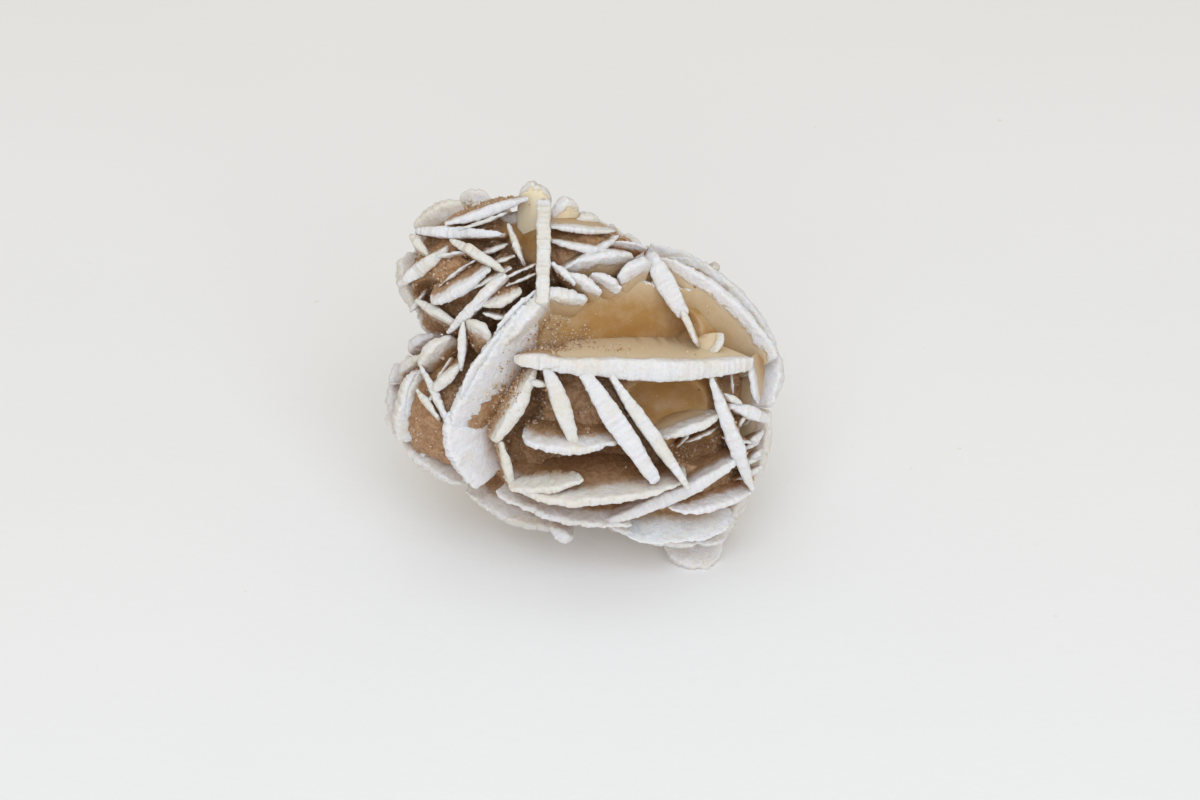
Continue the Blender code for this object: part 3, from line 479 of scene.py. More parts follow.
def add_object(name, mesh, collection=None):
    """Puts a mesh in the scene as an object at the origin."""
    made = bpy.data.objects.new(name, mesh)
    (collection or bpy.context.scene.collection).objects.link(made)
    return made


# ---------------------------------------------------------------- the blades


def face_blades(group):
    """The blades of one region of the face, each from the two ends of its rim. The chord joins the ends,
    and the blade goes forward along the face's outward way, turned about the chord by its lean."""
    made = []
    ragged, comb = GROUP_TRAITS.get(group, USUAL_TRAITS)
    for name, wave, start, end, lean, bulge, reach, rim, chalk, sand in FACE_BLADES[group]:
        start, end = on_face(start), on_face(end)
        chord = unit(end - start)
        straight = unit(OUT - chord * OUT.dot(chord))
        turn = math.radians(lean)
        forward = straight * math.cos(turn) + np.cross(chord, straight) * math.sin(turn)
        half_length = np.linalg.norm(end - start) / 2
        made.append(Blade((start + end) / 2, chord, forward, half_length, bulge, reach, rim, wave, chalk,
                          sand, ragged, comb, TAPERS.get(name, RIM_TAPER)))
    return made


def depth_in(lump, place):
    """Under 1 inside the lump, 1 on its surface and over 1 outside it: the sum of the squared shares of its
    radii."""
    centre, radii = np.asarray(lump[0]), np.asarray(lump[1])
    return (((place - centre) / radii) ** 2).sum(axis=-1)


def lump_sites(spacing):
    """Places spread evenly over the heart's lumps by the golden angle, with their outward normals, on the
    face's axes. Those inside another lump are left out."""
    golden = math.pi * (3 - math.sqrt(5))
    for centre, radii in HEART_LUMPS:
        centre, radii = np.array(centre), np.array(radii)
        count = round(4 * math.pi * radii.prod() ** (2 / 3) / spacing**2)
        for i in range(count):
            out = 1 - 2 * (i + 0.5) / count
            ring = math.sqrt(1 - out * out)
            way = np.array((ring * math.cos(golden * i), ring * math.sin(golden * i), out))
            place = centre + radii * way
            if sum(depth_in(lump, place) < LUMP_SKIN for lump in HEART_LUMPS) <= 1:
                yield place, unit(way / radii)


def family_blade(draw, place, outward, sizes, wave, lift, traits):
    """A blade standing on the heart at a place, in one of the families of nearly parallel plates."""
    family = np.array(FAMILIES[draw.randrange(len(FAMILIES))])
    family = family + tuple(draw.uniform(*FAMILY_SWAY) for _ in range(3))
    normal = unit(family - outward * family.dot(outward) * FAMILY_STAND)
    chord = unit(np.cross(normal, outward))
    forward = unit(np.cross(chord, normal))
    if forward.dot(outward) < 0:
        forward = -forward
    half_length = draw.uniform(*sizes[0])
    middle = on_face(place + forward * lift)
    bulge, reach, rim = (draw.uniform(*size) for size in sizes[1:])
    return Blade(middle, chord @ FACE_AXES, forward @ FACE_AXES, half_length, bulge, reach, rim, wave,
                 *traits, RIM_TAPER)


def side_blades():
    """The blades of the sides and back, in the same places as in the solid, and those that the rose rests
    on, whose rims point down."""
    draw = random.Random(SIDE_SEED)
    first_wave = sum(len(rows) for group, rows in FACE_BLADES.items() if group != LEAVES)
    sites = [site for site in lump_sites(SIDE_SPACING) if site[1][2] < SIDE_TURN_LIMIT]
    made = [family_blade(draw, place, outward, SIDE_SIZES, first_wave + i, SIDE_LIFT, SIDE_TRAITS)
            for i, (place, outward) in enumerate(sites)]
    for i, (x1, y1, x2, y2) in enumerate(REST_BLADES):
        start, end = np.array((x1, y1, REST_HEIGHT)), np.array((x2, y2, REST_HEIGHT))
        made.append(Blade((start + end) / 2, unit(end - start), np.array((0.0, 0.0, -1.0)),
                          np.linalg.norm(end - start) / 2, REST_BULGE, REST_REACH, REST_RIM, i, *REST_TRAITS,
                          RIM_TAPER))
    return made


def small_blades(settings):
    """The many small blades between the large ones, over the sides and back of the heart."""
    draw = random.Random(settings.small_seed)
    sites = [site for site in lump_sites(settings.small_spacing) if site[1][2] < settings.small_turn]
    return [family_blade(draw, place, outward, SMALL_SIZES, i, draw.uniform(*SMALL_LIFT), SMALL_TRAITS)
            for i, (place, outward) in enumerate(sites)]


def outline(blade, angle):
    """A point of the blade's outline, relative to the middle of its chord: half the length times the cosine
    of the angle along the chord, and forward the bulge times a power of the sine in front, or back the
    reach times the sine behind, both times slow waves of the angle that differ from blade to blade."""
    along, out = np.cos(angle), np.sin(angle)
    wave = 1
    for height, turns, shift in OUTLINE_WAVES:
        wave = wave + height * np.sin(turns * angle + shift * blade.wave)
    depth = np.where(out > 0, blade.bulge * np.abs(out) ** BULGE_POWER, blade.reach * out)
    return blade.half_length * along * wave, depth * wave


def blade_section(blade, width):
    """The depth of each point of every row from the rim, and its share of half the rim's thickness, over
    the top face on the way back and under the bottom face on the way to the rim again. Narrow rows have the
    same section on a smaller scale."""
    steps = [step for step in SECTION if step[0] < blade.reach * SECTION_SHARE]
    depths = np.array([-RIM_CROWN] + [depth for depth, _ in steps])
    reached = depths[None, :] * np.minimum(1, width / (depths[-1] * SECTION_ROOM))[:, None]
    top = np.concatenate([reached, BACK_EDGE[0] * width[:, None], width[:, None]], axis=1)
    lift = np.array([0.0] + [fatness for _, fatness in steps] + [BACK_EDGE[1], 0.0])
    return np.concatenate([top, top[:, -2:0:-1]], axis=1), np.concatenate([lift, -lift[-2:0:-1]])


def blade_surface(blade, step, settings):
    """One blade as a grid: rows run along the chord, and each row is a closed section from the rim at the
    front, over the top face to the buried back edge, and under the bottom face to the rim again. A section
    point is the front outline point plus its depth towards the back outline point, lifted by its share of
    half the rim's thickness, which falls towards the ends of the chord. A slow noise warps the whole blade.
    The rim is made ragged: layers of noise move it in and out, the strongest inward swings bite notches in
    it, and the thickness swells and shrinks along it. Ribs, which are noise of the place along the chord
    alone, comb the faces back from the rim and fade with depth. At last, fine noise moves every point along
    its normal, strongly on the chalk and hardly at all on clear faces. Returns the grid, its two end points
    and each point's depth from the rim."""
    rows = max(LEAST_ROWS, round(math.pi * math.hypot(blade.half_length, blade.bulge + ROW_BULGE) / step))
    share = np.arange(1, rows) / rows
    angle = math.pi * share + ROW_CROWDING * np.sin(2 * math.pi * share)
    normal = np.cross(blade.chord, blade.forward)

    def at(angles):
        along, out = outline(blade, angles)
        return blade.middle + along[:, None] * blade.chord + out[:, None] * blade.forward, along

    front, along = at(angle)
    back, _ = at(-angle)
    inward = back - front
    width = np.linalg.norm(inward, axis=1)
    inward = inward / np.maximum(width, 1e-6)[:, None]
    depth, side = blade_section(blade, width)

    taper = 1 - (1 - blade.taper) * np.minimum(1, np.abs(along) / blade.half_length) ** TAPER_POWER
    half_thick = blade.rim / 2 * taper * np.minimum(1, np.sin(angle) / END_ROUNDING) ** 0.5
    least, per_length = SHORT_ROUGHNESS
    rough = settings.raggedness * blade.ragged * min(1.0, least + blade.half_length / per_length)
    bite_strength, bite_size, bite_seed = RIM_BITES
    bite = smooth_step(*BITE_RANGE, noise(front, bite_size, bite_seed))
    ragged = (layered(front, RIM_SWINGS) - bite_strength * bite) * rough
    shift = np.minimum(ragged, RIM_OUTWARD)[:, None] * np.exp(-np.maximum(depth, 0) / RIM_SWING_DEPTH)

    lane = np.stack([along, np.full_like(along, LANE_SHIFT * blade.wave), np.zeros_like(along)], axis=1)
    over, under = layered(lane, SWELLS_OVER), layered(lane, SWELLS_UNDER)
    thick = np.where(side[None, :] > 0, over[:, None], under[:, None])
    swell = 1 + SWELL_STRENGTH * rough * thick * faded(depth, *SWELL_PLACE)
    patches = smooth_step(*COMB_RANGE, layered(lane, COMB_PATCHES))
    combed = blade.comb * (COMB_LEAST + (1 - COMB_LEAST) * patches)
    ribs = (layered(lane, RIBS) * combed)[:, None] * faded(depth, 0, RIB_DEPTH) * np.sign(side)
    warp = layered(front, WARP)
    points = (front[:, None] + inward[:, None] * (depth - shift)[..., None]
              + normal * (side * half_thick[:, None] * swell + ribs + warp[:, None])[..., None])

    clear = np.clip(1 - blade.sand, 0, 1) * smooth_step(*CLEAR_RANGE, depth / blade.chalk)
    crumbs = layered(points, CRUMBS) * settings.roughening * (1 - CLEAR_CALM * clear)
    points = points + grid_normals(points) * crumbs[..., None]
    tips, _ = at(np.array((0.0, math.pi)))
    return points, tips[0], tips[1], depth


def blade_mesh(blade, step, tone, settings):
    """The closed mesh of one blade."""
    points, first, last, depth = blade_surface(blade, step, settings)
    return closed_mesh("blade", points, first, last, growth_values(depth, tone, blade.sand, blade.chalk))


# ---------------------------------------------------------------- the heart


def dug(points):
    """Points of the heart, on the face's axes, with the hollows dug out: over each hollow's ellipse, a
    point further out than the hollow's bottom (its centre less the out radius times the root of 1 minus the
    squared shares of the other two) drops onto it."""
    points = points.copy()
    for centre, radii in HOLLOWS:
        share = (((points[..., :2] - centre[:2]) / radii[:2]) ** 2).sum(axis=-1)
        bottom = centre[2] - radii[2] * np.sqrt(np.maximum(1 - share, 0))
        points[..., 2] = np.where(share < 1, np.minimum(points[..., 2], bottom), points[..., 2])
    return points


def clear_share(place):
    """1 in the clear places of the face, falling to 0 round them and on the back."""
    clear = np.zeros(place.shape[:2])
    for middle, spread in CLEAR_PLACES:
        share = (((place[..., :2] - middle) / spread) ** 2).sum(axis=-1)
        clear = np.maximum(clear, smooth_step(*CLEAR_EDGE, share) * (place[..., 2] > 0))
    return clear


def lump_mesh(centre, radii, settings):
    """One lump of the heart as a closed mesh on a grid of latitude and longitude: an ellipsoid with the
    hollows dug out, whose surface is moved along its normal by noise at three sizes, from low swellings to
    sand grains. It is sandy, except in the clear places of the face, and its tone goes from 0 on the face
    to 1 at the back."""
    rows, columns = HEART_GRID
    polar = math.pi * np.arange(1, rows) / rows
    around = 2 * math.pi * np.arange(columns) / columns
    sine = np.sin(polar)[:, None]
    way = np.stack([sine * np.cos(around), sine * np.sin(around),
                    np.broadcast_to(np.cos(polar)[:, None], (rows - 1, columns))], axis=-1)
    centre, radii = np.array(centre), np.array(radii)
    place = dug(centre + radii * way)
    clear = clear_share(place)

    def bumped(places, ways, calm):
        bump = layered(places, HEART_BUMPS) * (1 - HEART_CALM * calm) * settings.grit
        return on_face(places + unit(ways / radii) * bump[..., None])

    poles = np.array(((0, 0, 1.0), (0, 0, -1.0)))
    ends = bumped(dug(centre + radii * poles), poles, np.zeros(2))
    tone = smooth_step(*BACK_TONE, unit(way / radii)[..., 2])
    growth = growth_values(HEART_DEPTH, tone, 1 - clear, HEART_CHALK)
    return closed_mesh("lump", bumped(place, way, clear), ends[0], ends[1], growth)


# ---------------------------------------------------------------- fusing


def read(items, name, width, kind=np.float32):
    """One attribute of all items as rows of the given width."""
    values = np.empty(len(items) * width, kind)
    items.foreach_get(name, values)
    return values.reshape(-1, width)


def mesh_arrays(mesh):
    """The mesh's vertex places, and its triangles as vertex indices."""
    mesh.calc_loop_triangles()
    return read(mesh.vertices, "co", 3).astype(float), read(mesh.loop_triangles, "vertices", 3, np.int32)


def islands(count, triangles):
    """For each vertex, the smallest vertex index of its island: every triangle passes its smallest label to
    its three corners, and each label jumps to its own label, until nothing changes."""
    labels = np.arange(count)
    while True:
        low = labels[triangles].min(axis=1)
        made = labels.copy()
        for corner in range(3):
            np.minimum.at(made, triangles[:, corner], low)
        made = made[made]
        if (made == labels).all():
            return labels
        labels = made


def drop_hollows(mesh):
    """Deletes the islands that enclose no gypsum: the pockets that blades shut between them, whose signed
    volume (the sum over triangles of corner . (corner x corner) / 6) is under zero, and crumbs of next to
    no volume."""
    places, triangles = mesh_arrays(mesh)
    labels = islands(len(places), triangles)
    volume = np.bincount(labels[triangles[:, 0]], np.linalg.det(places[triangles]) / 6, len(places))
    kept = volume[labels] > LEAST_ISLAND
    if not kept.all():
        work = bmesh.new()
        work.from_mesh(mesh)
        work.verts.ensure_lookup_table()
        bmesh.ops.delete(work, geom=[work.verts[i] for i in np.flatnonzero(~kept)], context="VERTS")
        work.to_mesh(mesh)
        work.free()


def ground_block():
    """A block of ground whose top is the floor, as an object."""
    mesh = bpy.data.meshes.new("ground")
    corners = [(x * GROUND_REACH, y * GROUND_REACH, z)
               for x in (-1, 1) for y in (-1, 1) for z in (-GROUND_DEPTH, 0)]
    mesh.from_pydata(corners, [], [(0, 1, 3, 2), (4, 6, 7, 5), (0, 4, 5, 1), (2, 3, 7, 6), (0, 2, 6, 4),
                                   (1, 5, 7, 3)])
    return add_object("ground", mesh)


def fuse(name, meshes):
    """One closed surface from many meshes that overlap: a Boolean union, then a cut by the ground, which
    wears the feet flat."""
    shapes = bpy.data.collections.new("shapes of " + name)
    bpy.context.scene.collection.children.link(shapes)
    for mesh in meshes[1:]:
        add_object("shape", mesh, shapes)
    fused = add_object(name, meshes[0])
    join = fused.modifiers.new("join", "BOOLEAN")
    join.operation, join.solver = "UNION", "MANIFOLD"
    join.operand_type, join.collection = "COLLECTION", shapes
    ground = ground_block()
    wear = fused.modifiers.new("worn feet", "BOOLEAN")
    wear.operation, wear.solver, wear.object = "DIFFERENCE", "MANIFOLD", ground
    graph = bpy.context.evaluated_depsgraph_get()
    whole = bpy.data.meshes.new_from_object(fused.evaluated_get(graph))
    whole.name = name
    whole.materials.clear()
    fused.modifiers.clear()
    fused.data = whole
    for helper in [ground, *shapes.objects]:
        bpy.data.objects.remove(helper)
    bpy.data.collections.remove(shapes)
    drop_hollows(whole)
    whole.shade_smooth()
    whole.set_sharp_from_angle(angle=SHARP_ANGLE)
    return fused


# ---------------------------------------------------------------- the grains


def crystal():
    """The six corners and eight faces of an octahedron, with the faces pointing out."""
    corners = np.array(((1, 0, 0), (-1, 0, 0), (0, 1, 0), (0, -1, 0), (0, 0, 1), (0, 0, -1)), float)
    faces = np.array(((0, 2, 4), (2, 1, 4), (1, 3, 4), (3, 0, 4), (2, 0, 5), (1, 2, 5), (3, 1, 5), (0, 3, 5)))
    return corners, faces


def gypsum_triangles(gypsum):
    """The corners of all triangles of the gypsum pieces, and the mean of the growth values on each."""
    found = []
    for thing in gypsum:
        places, triangles = mesh_arrays(thing.data)
        loops = read(thing.data.loop_triangles, "loops", 3, np.int32)
        growth = read(thing.data.attributes["growth"].data, "color", 4)
        found.append((places[triangles], growth[loops].mean(axis=1)))
    return np.concatenate([corners for corners, _ in found]), np.concatenate([growth for _, growth in found])


def grain_chance(middle, cross, growth):
    """How likely a triangle holds a grain: its area times how sandy it is and how far it lies from a rim,
    in patches, plus the spots where sand has gathered. Surfaces that look into the heart or touch the
    ground hold none."""
    depth, _tone, sand, chalk = growth.T
    outward = (unit(cross) * (middle - HEART_CENTRE * MM)).sum(axis=1) > GRAIN_INWARD
    chance = smooth_step(*GRAIN_BARED, depth / np.maximum(chalk, 0.1))
    chance = chance * (GRAIN_LEAST + np.maximum(sand, 0) ** GRAIN_POWER)
    chance *= smooth_step(*GRAIN_PATCH_RANGE, layered(middle / MM, GRAIN_PATCHES))
    on_axes = (middle / MM - HEART_CENTRE) @ FACE_AXES.T
    for spot, how_much in SAND_SPOTS:
        chance += how_much * smooth_step(*GRAIN_SPOT_RANGE, depth_in(spot, on_axes))
    chance *= np.linalg.norm(cross, axis=1) * outward * (middle[:, 2] > GRAIN_GROUND)
    return chance / chance.sum()


def grain_mesh(name, gypsum, settings):
    """Sand grains in the recesses, on places drawn on the gypsum's triangles. Each grain is an octahedron
    with its corners pushed in and out, stretched and turned at random, and sunk partly into the surface."""
    count = settings.grain_count
    triangles, growth = gypsum_triangles(gypsum)
    cross = np.cross(triangles[:, 1] - triangles[:, 0], triangles[:, 2] - triangles[:, 0])
    draw = np.random.default_rng(settings.grain_seed)
    chosen = draw.choice(len(cross), count, p=grain_chance(triangles.mean(axis=1), cross, growth))
    a, b = draw.random((2, count, 1))
    flip = a + b > 1
    a, b = np.where(flip, 1 - a, a), np.where(flip, 1 - b, b)
    corner = triangles[chosen]
    place = corner[:, 0] + (corner[:, 1] - corner[:, 0]) * a + (corner[:, 2] - corner[:, 0]) * b

    shape, faces = crystal()
    sizes = np.minimum(np.exp(draw.normal(0, GRAIN_SPREAD, count)), GRAIN_LARGEST)
    radius = MM * settings.grain_size / 2 * sizes
    push = draw.uniform(*GRAIN_PUSH, (count, len(shape), 1))
    stretch = draw.uniform(*GRAIN_STRETCH, (count, 1, 3))
    turn = np.linalg.qr(draw.normal(size=(count, 3, 3)))[0]
    turn = turn * np.sign(np.linalg.det(turn))[:, None, None]
    bodies = np.einsum("gij,gvj->gvi", turn, shape[None] * push * stretch) * radius[:, None, None]
    middles = place + unit(cross)[chosen] * radius[:, None] * GRAIN_RISE
    vertices = (bodies + middles[:, None]).reshape(-1, 3)
    all_faces = (faces[None] + (np.arange(count) * len(shape))[:, None, None]).reshape(-1, 3)
    mesh = bpy.data.meshes.new(name)
    mesh.from_pydata(vertices.tolist(), [], all_faces.tolist())
    layer = mesh.attributes.new("tone", "FLOAT", "POINT")
    layer.data.foreach_set("value", np.repeat(draw.random(count), len(shape)).astype(np.float32))
    return mesh


# ---------------------------------------------------------------- materials


class NodeTree:
    """Short calls that add and join the nodes of one material."""

    def __init__(self, name):
        self.material = bpy.data.materials.new(name)
        self.material.use_nodes = True
        self.tree = self.material.node_tree
        self.shader = self.tree.nodes["Principled BSDF"]

    def add(self, kind, inputs=(), **settings):
        node = self.tree.nodes.new("ShaderNode" + kind)
        for key, value in settings.items():
            setattr(node, key, value)
        for key, value in dict(inputs).items():
            self.feed(node.inputs[key], value)
        return node

    def feed(self, socket, value):
        if isinstance(value, bpy.types.NodeSocket):
            self.tree.links.new(value, socket)
        else:
            socket.default_value = value

    def math(self, operation, *values):
        node = self.add("Math", operation=operation)
        for socket, value in zip(node.inputs, values):
            self.feed(socket, value)
        return node.outputs[0]

    def ramp(self, value, low, high, to_low=0.0, to_high=1.0):
        """The value mapped smoothly from low..high to to_low..to_high."""
        node = self.add("MapRange", {"Value": value, "From Min": low, "From Max": high, "To Min": to_low,
                                     "To Max": to_high}, interpolation_type="SMOOTHSTEP")
        return node.outputs[0]

    def less(self, value):
        """1 less the value."""
        return self.math("SUBTRACT", 1.0, value)

    def noise(self, place, size_mm, detail=2.0, roughness=0.5):
        node = self.add("TexNoise", {"Vector": place, "Scale": 1 / (size_mm * MM), "Detail": detail,
                                     "Roughness": roughness})
        return node.outputs["Fac"]

    def sway(self, value, noise, strength):
        """The value moved up and down by a noise whose middle is a half."""
        return self.math("MULTIPLY_ADD", self.math("SUBTRACT", noise, 0.5), strength, value)

    def mix(self, share, first, second):
        """The first colour, going over to the second with the share."""
        node = self.add("Mix", data_type="RGBA")
        for socket, value in ((0, share), (6, first), (7, second)):
            plain = isinstance(value, (bpy.types.NodeSocket, float))
            self.feed(node.inputs[socket], value if plain else (*value, 1))
        return node.outputs[2]

    def surface(self, colour, roughness):
        self.feed(self.shader.inputs["Base Color"], colour)
        self.feed(self.shader.inputs["Roughness"], roughness)

    def scatter(self, weight, reach):
        """Lets light travel under the surface, red the furthest."""
        self.shader.inputs["Subsurface Weight"].default_value = weight
        self.shader.inputs["Subsurface Radius"].default_value = SCATTER
        self.shader.inputs["Subsurface Scale"].default_value = reach

    def bump(self, height, strength, distance):
        node = self.add("Bump", {"Strength": strength, "Distance": distance, "Height": height})
        self.feed(self.shader.inputs["Normal"], node.outputs["Normal"])


def gypsum_material(finish):
    """Gypsum: chalky white as deep from each rim as the blade's chalk reaches, then tan going to clear
    honey and amber (pale where the blade is pale), and brown sand where the blade is sandy or shut in; in
    shut-in places that brown is partly painted shade. Growth values on the corners say how deep a point lies
    from its blade's rim, the blade's tone, how sandy it is and how deep its chalk reaches, and ambient
    occlusion says how shut in a point is. The ambient occlusion paints shade into the colour, darkening the
    white in recesses, and paints light, whitening open sandy places."""
    nodes = NodeTree(GYPSUM)
    place = nodes.add("TexCoord").outputs["Object"]
    growth = nodes.add("Attribute", attribute_name="growth")
    split = nodes.add("SeparateColor", {"Color": growth.outputs["Color"]})
    depth, tone, sand = split.outputs[0], split.outputs[1], split.outputs[2]
    chalk_reach = growth.outputs["Alpha"]
    # Ambient occlusion, which paints light and shade into the colour below.
    ao_light_and_shade = nodes.add("AmbientOcclusion", {"Distance": finish.painted_shade_reach}, samples=PAINTED_SHADE_SAMPLES,
                         only_local=False).outputs["AO"]

    blotch = nodes.noise(place, 2.4, 3.0, 0.6)
    crumb = nodes.noise(place, 0.5, 2.0, 0.65)
    speck = nodes.noise(place, 0.21, 1.0)
    glint = nodes.noise(nodes.add("VectorMath", {0: place, 1: GLINT_SHIFT}).outputs[0], 0.17, 1.0)

    broken = nodes.sway(nodes.sway(depth, blotch, 2.0), crumb, 1.3)
    bared = nodes.ramp(nodes.math("DIVIDE", broken, chalk_reach), 0.65, 1.35)
    weathered = nodes.math("MULTIPLY", nodes.math("MULTIPLY", sand, tone), 0.8)
    # White on open, sandy places of high tone: partly weathering, partly painted light from the ambient
    # occlusion.
    weathered_and_painted_white = nodes.math("MULTIPLY", nodes.ramp(ao_light_and_shade, 0.55, 0.92), weathered)
    white = nodes.math("MAXIMUM", nodes.less(bared), weathered_and_painted_white)
    # Painted shade: the white is darkened where the ambient occlusion finds walls close round a point.
    white = nodes.math("MULTIPLY", white, nodes.ramp(ao_light_and_shade, 0.05, 0.38, 0.45, 1.0))

    inside = nodes.math("SUBTRACT", broken, chalk_reach)
    unveined = nodes.less(nodes.ramp(nodes.noise(place, 3.6, 4.0, 0.65), 0.38, 0.66, 0.0, 0.5))
    clear = finish.tan
    for colour, start, whole in ((finish.honey, 0.2, 3.2), (finish.amber, 3.0, 8.0)):
        clear = nodes.mix(nodes.math("MULTIPLY", nodes.ramp(inside, start, whole), unveined), clear, colour)
    clear = nodes.mix(nodes.ramp(sand, 0.0, -1.0), clear, finish.pale)
    clear = nodes.mix(nodes.ramp(glint, 0.72, 0.78, 0.0, 0.5), clear, finish.cream)
    grit = nodes.mix(nodes.ramp(crumb, 0.36, 0.66), finish.sand, finish.pale_sand)
    # Shut-in places turn to sand colour: partly sand that gathers in recesses, partly painted shade.
    recess_sand_and_painted_shade = nodes.ramp(ao_light_and_shade, 0.10, 0.50, 0.45, 0.0)
    gritty = nodes.sway(nodes.math("ADD", sand, recess_sand_and_painted_shade), blotch, 1.6)
    bare = nodes.mix(nodes.ramp(gritty, 0.15, 0.85), clear, grit)
    creamy = nodes.ramp(nodes.math("MULTIPLY_ADD", tone, 0.35, blotch), 0.5, 0.95)
    chalk = nodes.mix(creamy, finish.chalk, finish.cream)
    colour = nodes.mix(white, bare, chalk)
    peppered = nodes.math("MULTIPLY", nodes.ramp(speck, 0.74, 0.80), nodes.ramp(sand, 0.0, 0.5, 0.12, 0.6))
    colour = nodes.mix(peppered, colour, finish.speck)
    nodes.surface(colour, nodes.ramp(white, 0.0, 0.8, 0.48, 0.92))
    nodes.shader.inputs["IOR"].default_value = GYPSUM_IOR
    nodes.shader.inputs["Specular IOR Level"].default_value = 0.4
    nodes.scatter(finish.glow, finish.glow_reach)

    fine = nodes.noise(place, 0.16, 2.0, 0.7)
    grain = nodes.math("MAXIMUM", white, nodes.math("MULTIPLY", sand, 1.2))
    relief = nodes.math("MULTIPLY_ADD", fine, 0.08, nodes.math("MULTIPLY", crumb, 0.18))
    nodes.bump(nodes.math("MULTIPLY", relief, nodes.ramp(grain, 0.0, 0.6, 0.15, 1.0)), 1.0, MM)
    return nodes.material


def grain_material(finish):
    """Sand grains: each grain has its own tone, from brown over honey to almost clear white, and a slight
    gloss."""
    nodes = NodeTree("sand grains")
    place = nodes.add("TexCoord").outputs["Object"]
    tone = nodes.add("Attribute", attribute_name="tone").outputs["Fac"]
    mottle = nodes.noise(place, 0.12, 2.0)
    dark = nodes.mix(nodes.ramp(tone, 0.0, 0.4), finish.sand, finish.pale_sand)
    colour = nodes.mix(nodes.ramp(tone, 0.35, 0.8), dark, finish.glint)
    colour = nodes.mix(nodes.ramp(mottle, 0.45, 0.75, 0.0, 0.25), colour, finish.tan)
    nodes.surface(colour, nodes.ramp(mottle, 0.3, 0.7, 0.12, 0.4))
    nodes.scatter(GRAIN_GLOW, GRAIN_GLOW_REACH)
    return nodes.material


def table_material(finish):
    """A pale painted table: nearly white, with faint wide clouds and a few faint marks. It also shines a
    little, as a table lit from below does, which keeps the shadows on it light."""
    nodes = NodeTree("pale table")
    place = nodes.add("TexCoord").outputs["Object"]
    cloud = nodes.noise(place, 60.0, 3.0, 0.5)
    fine = nodes.noise(place, 1.4, 3.0, 0.6)
    colour = nodes.mix(nodes.ramp(cloud, 0.35, 0.65), finish.table, finish.table_cloud)
    mark = nodes.ramp(nodes.noise(place, 2.6, 1.0), 0.79, 0.83, 0.0, 0.35)
    colour = nodes.mix(mark, colour, finish.tan)
    nodes.surface(colour, 0.75)
    nodes.shader.inputs["Emission Color"].default_value = (*finish.table_glow, 1)
    nodes.shader.inputs["Emission Strength"].default_value = 1.0
    nodes.bump(fine, 0.15, 0.3 * MM)
    return nodes.material


# ---------------------------------------------------------------- settings


def number(name, description, default, low=0.0, high=3.0, **more):
    """A number that a user may change, within limits."""
    return FloatProperty(name=name, description=description, default=default, min=low, max=high, **more)


def colour_property(name, description, default):
    """A colour that a user may change."""
    return FloatVectorProperty(name=name, description=description, subtype="COLOR", size=3, min=0, max=1,
                               default=default)


class RoseSettings(bpy.types.PropertyGroup):
    """How finely the blades, the heart and the grains are grown."""

    face_step: number("Face rim step", "Spacing of the points along a rim of the face, in mm", 0.17, 0.1)
    side_step: number("Side rim step", "Spacing of the points along a rim at the sides, in mm", 0.38, 0.1)
    raggedness: number("Raggedness", "How chipped the rims are", 1.0)
    roughening: number("Roughening", "Fine unevenness of the blades", 1.0)
    grit: number("Grit", "Unevenness of the sandy heart", 1.0)
    small_spacing: number("Small blade spacing", "Distance between small blades, in mm", 2.6, 1.0, 8.0)
    small_turn: number("Small blade turn", "How far out a place may face for small blades", 0.1, -1.0, 1.0)
    small_seed: IntProperty(name="Small blade seed", description="Which small blades grow", default=23)
    grain_count: IntProperty(name="Grains", description="How many sand grains are held", default=24000, min=1,
                             max=24000)
    grain_size: number("Grain size", "Usual size of a grain, in mm", 0.21, 0.05, 1.0)
    grain_seed: IntProperty(name="Grain seed", description="Where the grains lie", default=5)


class FinishSettings(bpy.types.PropertyGroup):
    """The colours of the gypsum, the sand and the table."""

    chalk: colour_property("Chalk", "Chalky white rims", (0.75, 0.73, 0.735))
    cream: colour_property("Cream", "Warmer white", (0.71, 0.665, 0.59))
    tan: colour_property("Tan", "Blade faces", (0.56, 0.41, 0.25))
    honey: colour_property("Honey", "Clear gypsum behind the rims", (0.42, 0.228, 0.068))
    amber: colour_property("Amber", "Clear gypsum deep inside", (0.325, 0.145, 0.03))
    pale: colour_property("Pale", "Clear gypsum with hardly any colour", (0.86, 0.75, 0.54))
    sand: colour_property("Sand", "Dark sand", (0.33, 0.165, 0.075))
    pale_sand: colour_property("Pale sand", "Light sand", (0.47, 0.28, 0.145))
    glint: colour_property("Glint", "The brightest grains", (0.66, 0.51, 0.38))
    speck: colour_property("Speck", "Dark specks", (0.10, 0.07, 0.05))
    table: colour_property("Table", "The pale table", (0.69, 0.70, 0.73))
    table_cloud: colour_property("Table clouds", "Faint wide clouds in the table's paint", (0.68, 0.69, 0.72))
    table_glow: colour_property("Table glow", "The faint light of the table itself", (0.19, 0.182, 0.162))
    glow: number("Glow", "Share of light that passes through the gypsum", 0.4, 0.0, 1.0, subtype="FACTOR")
    glow_reach: number("Glow reach", "How far light travels in the gypsum", 0.0013, 0.0, 0.1, unit="LENGTH")
    # How near walls must be for the ambient occlusion to paint shade into the gypsum.
    painted_shade_reach: number("Painted shade reach", "How near walls shut a recess in", 0.006, 0.0, 0.1, unit="LENGTH")


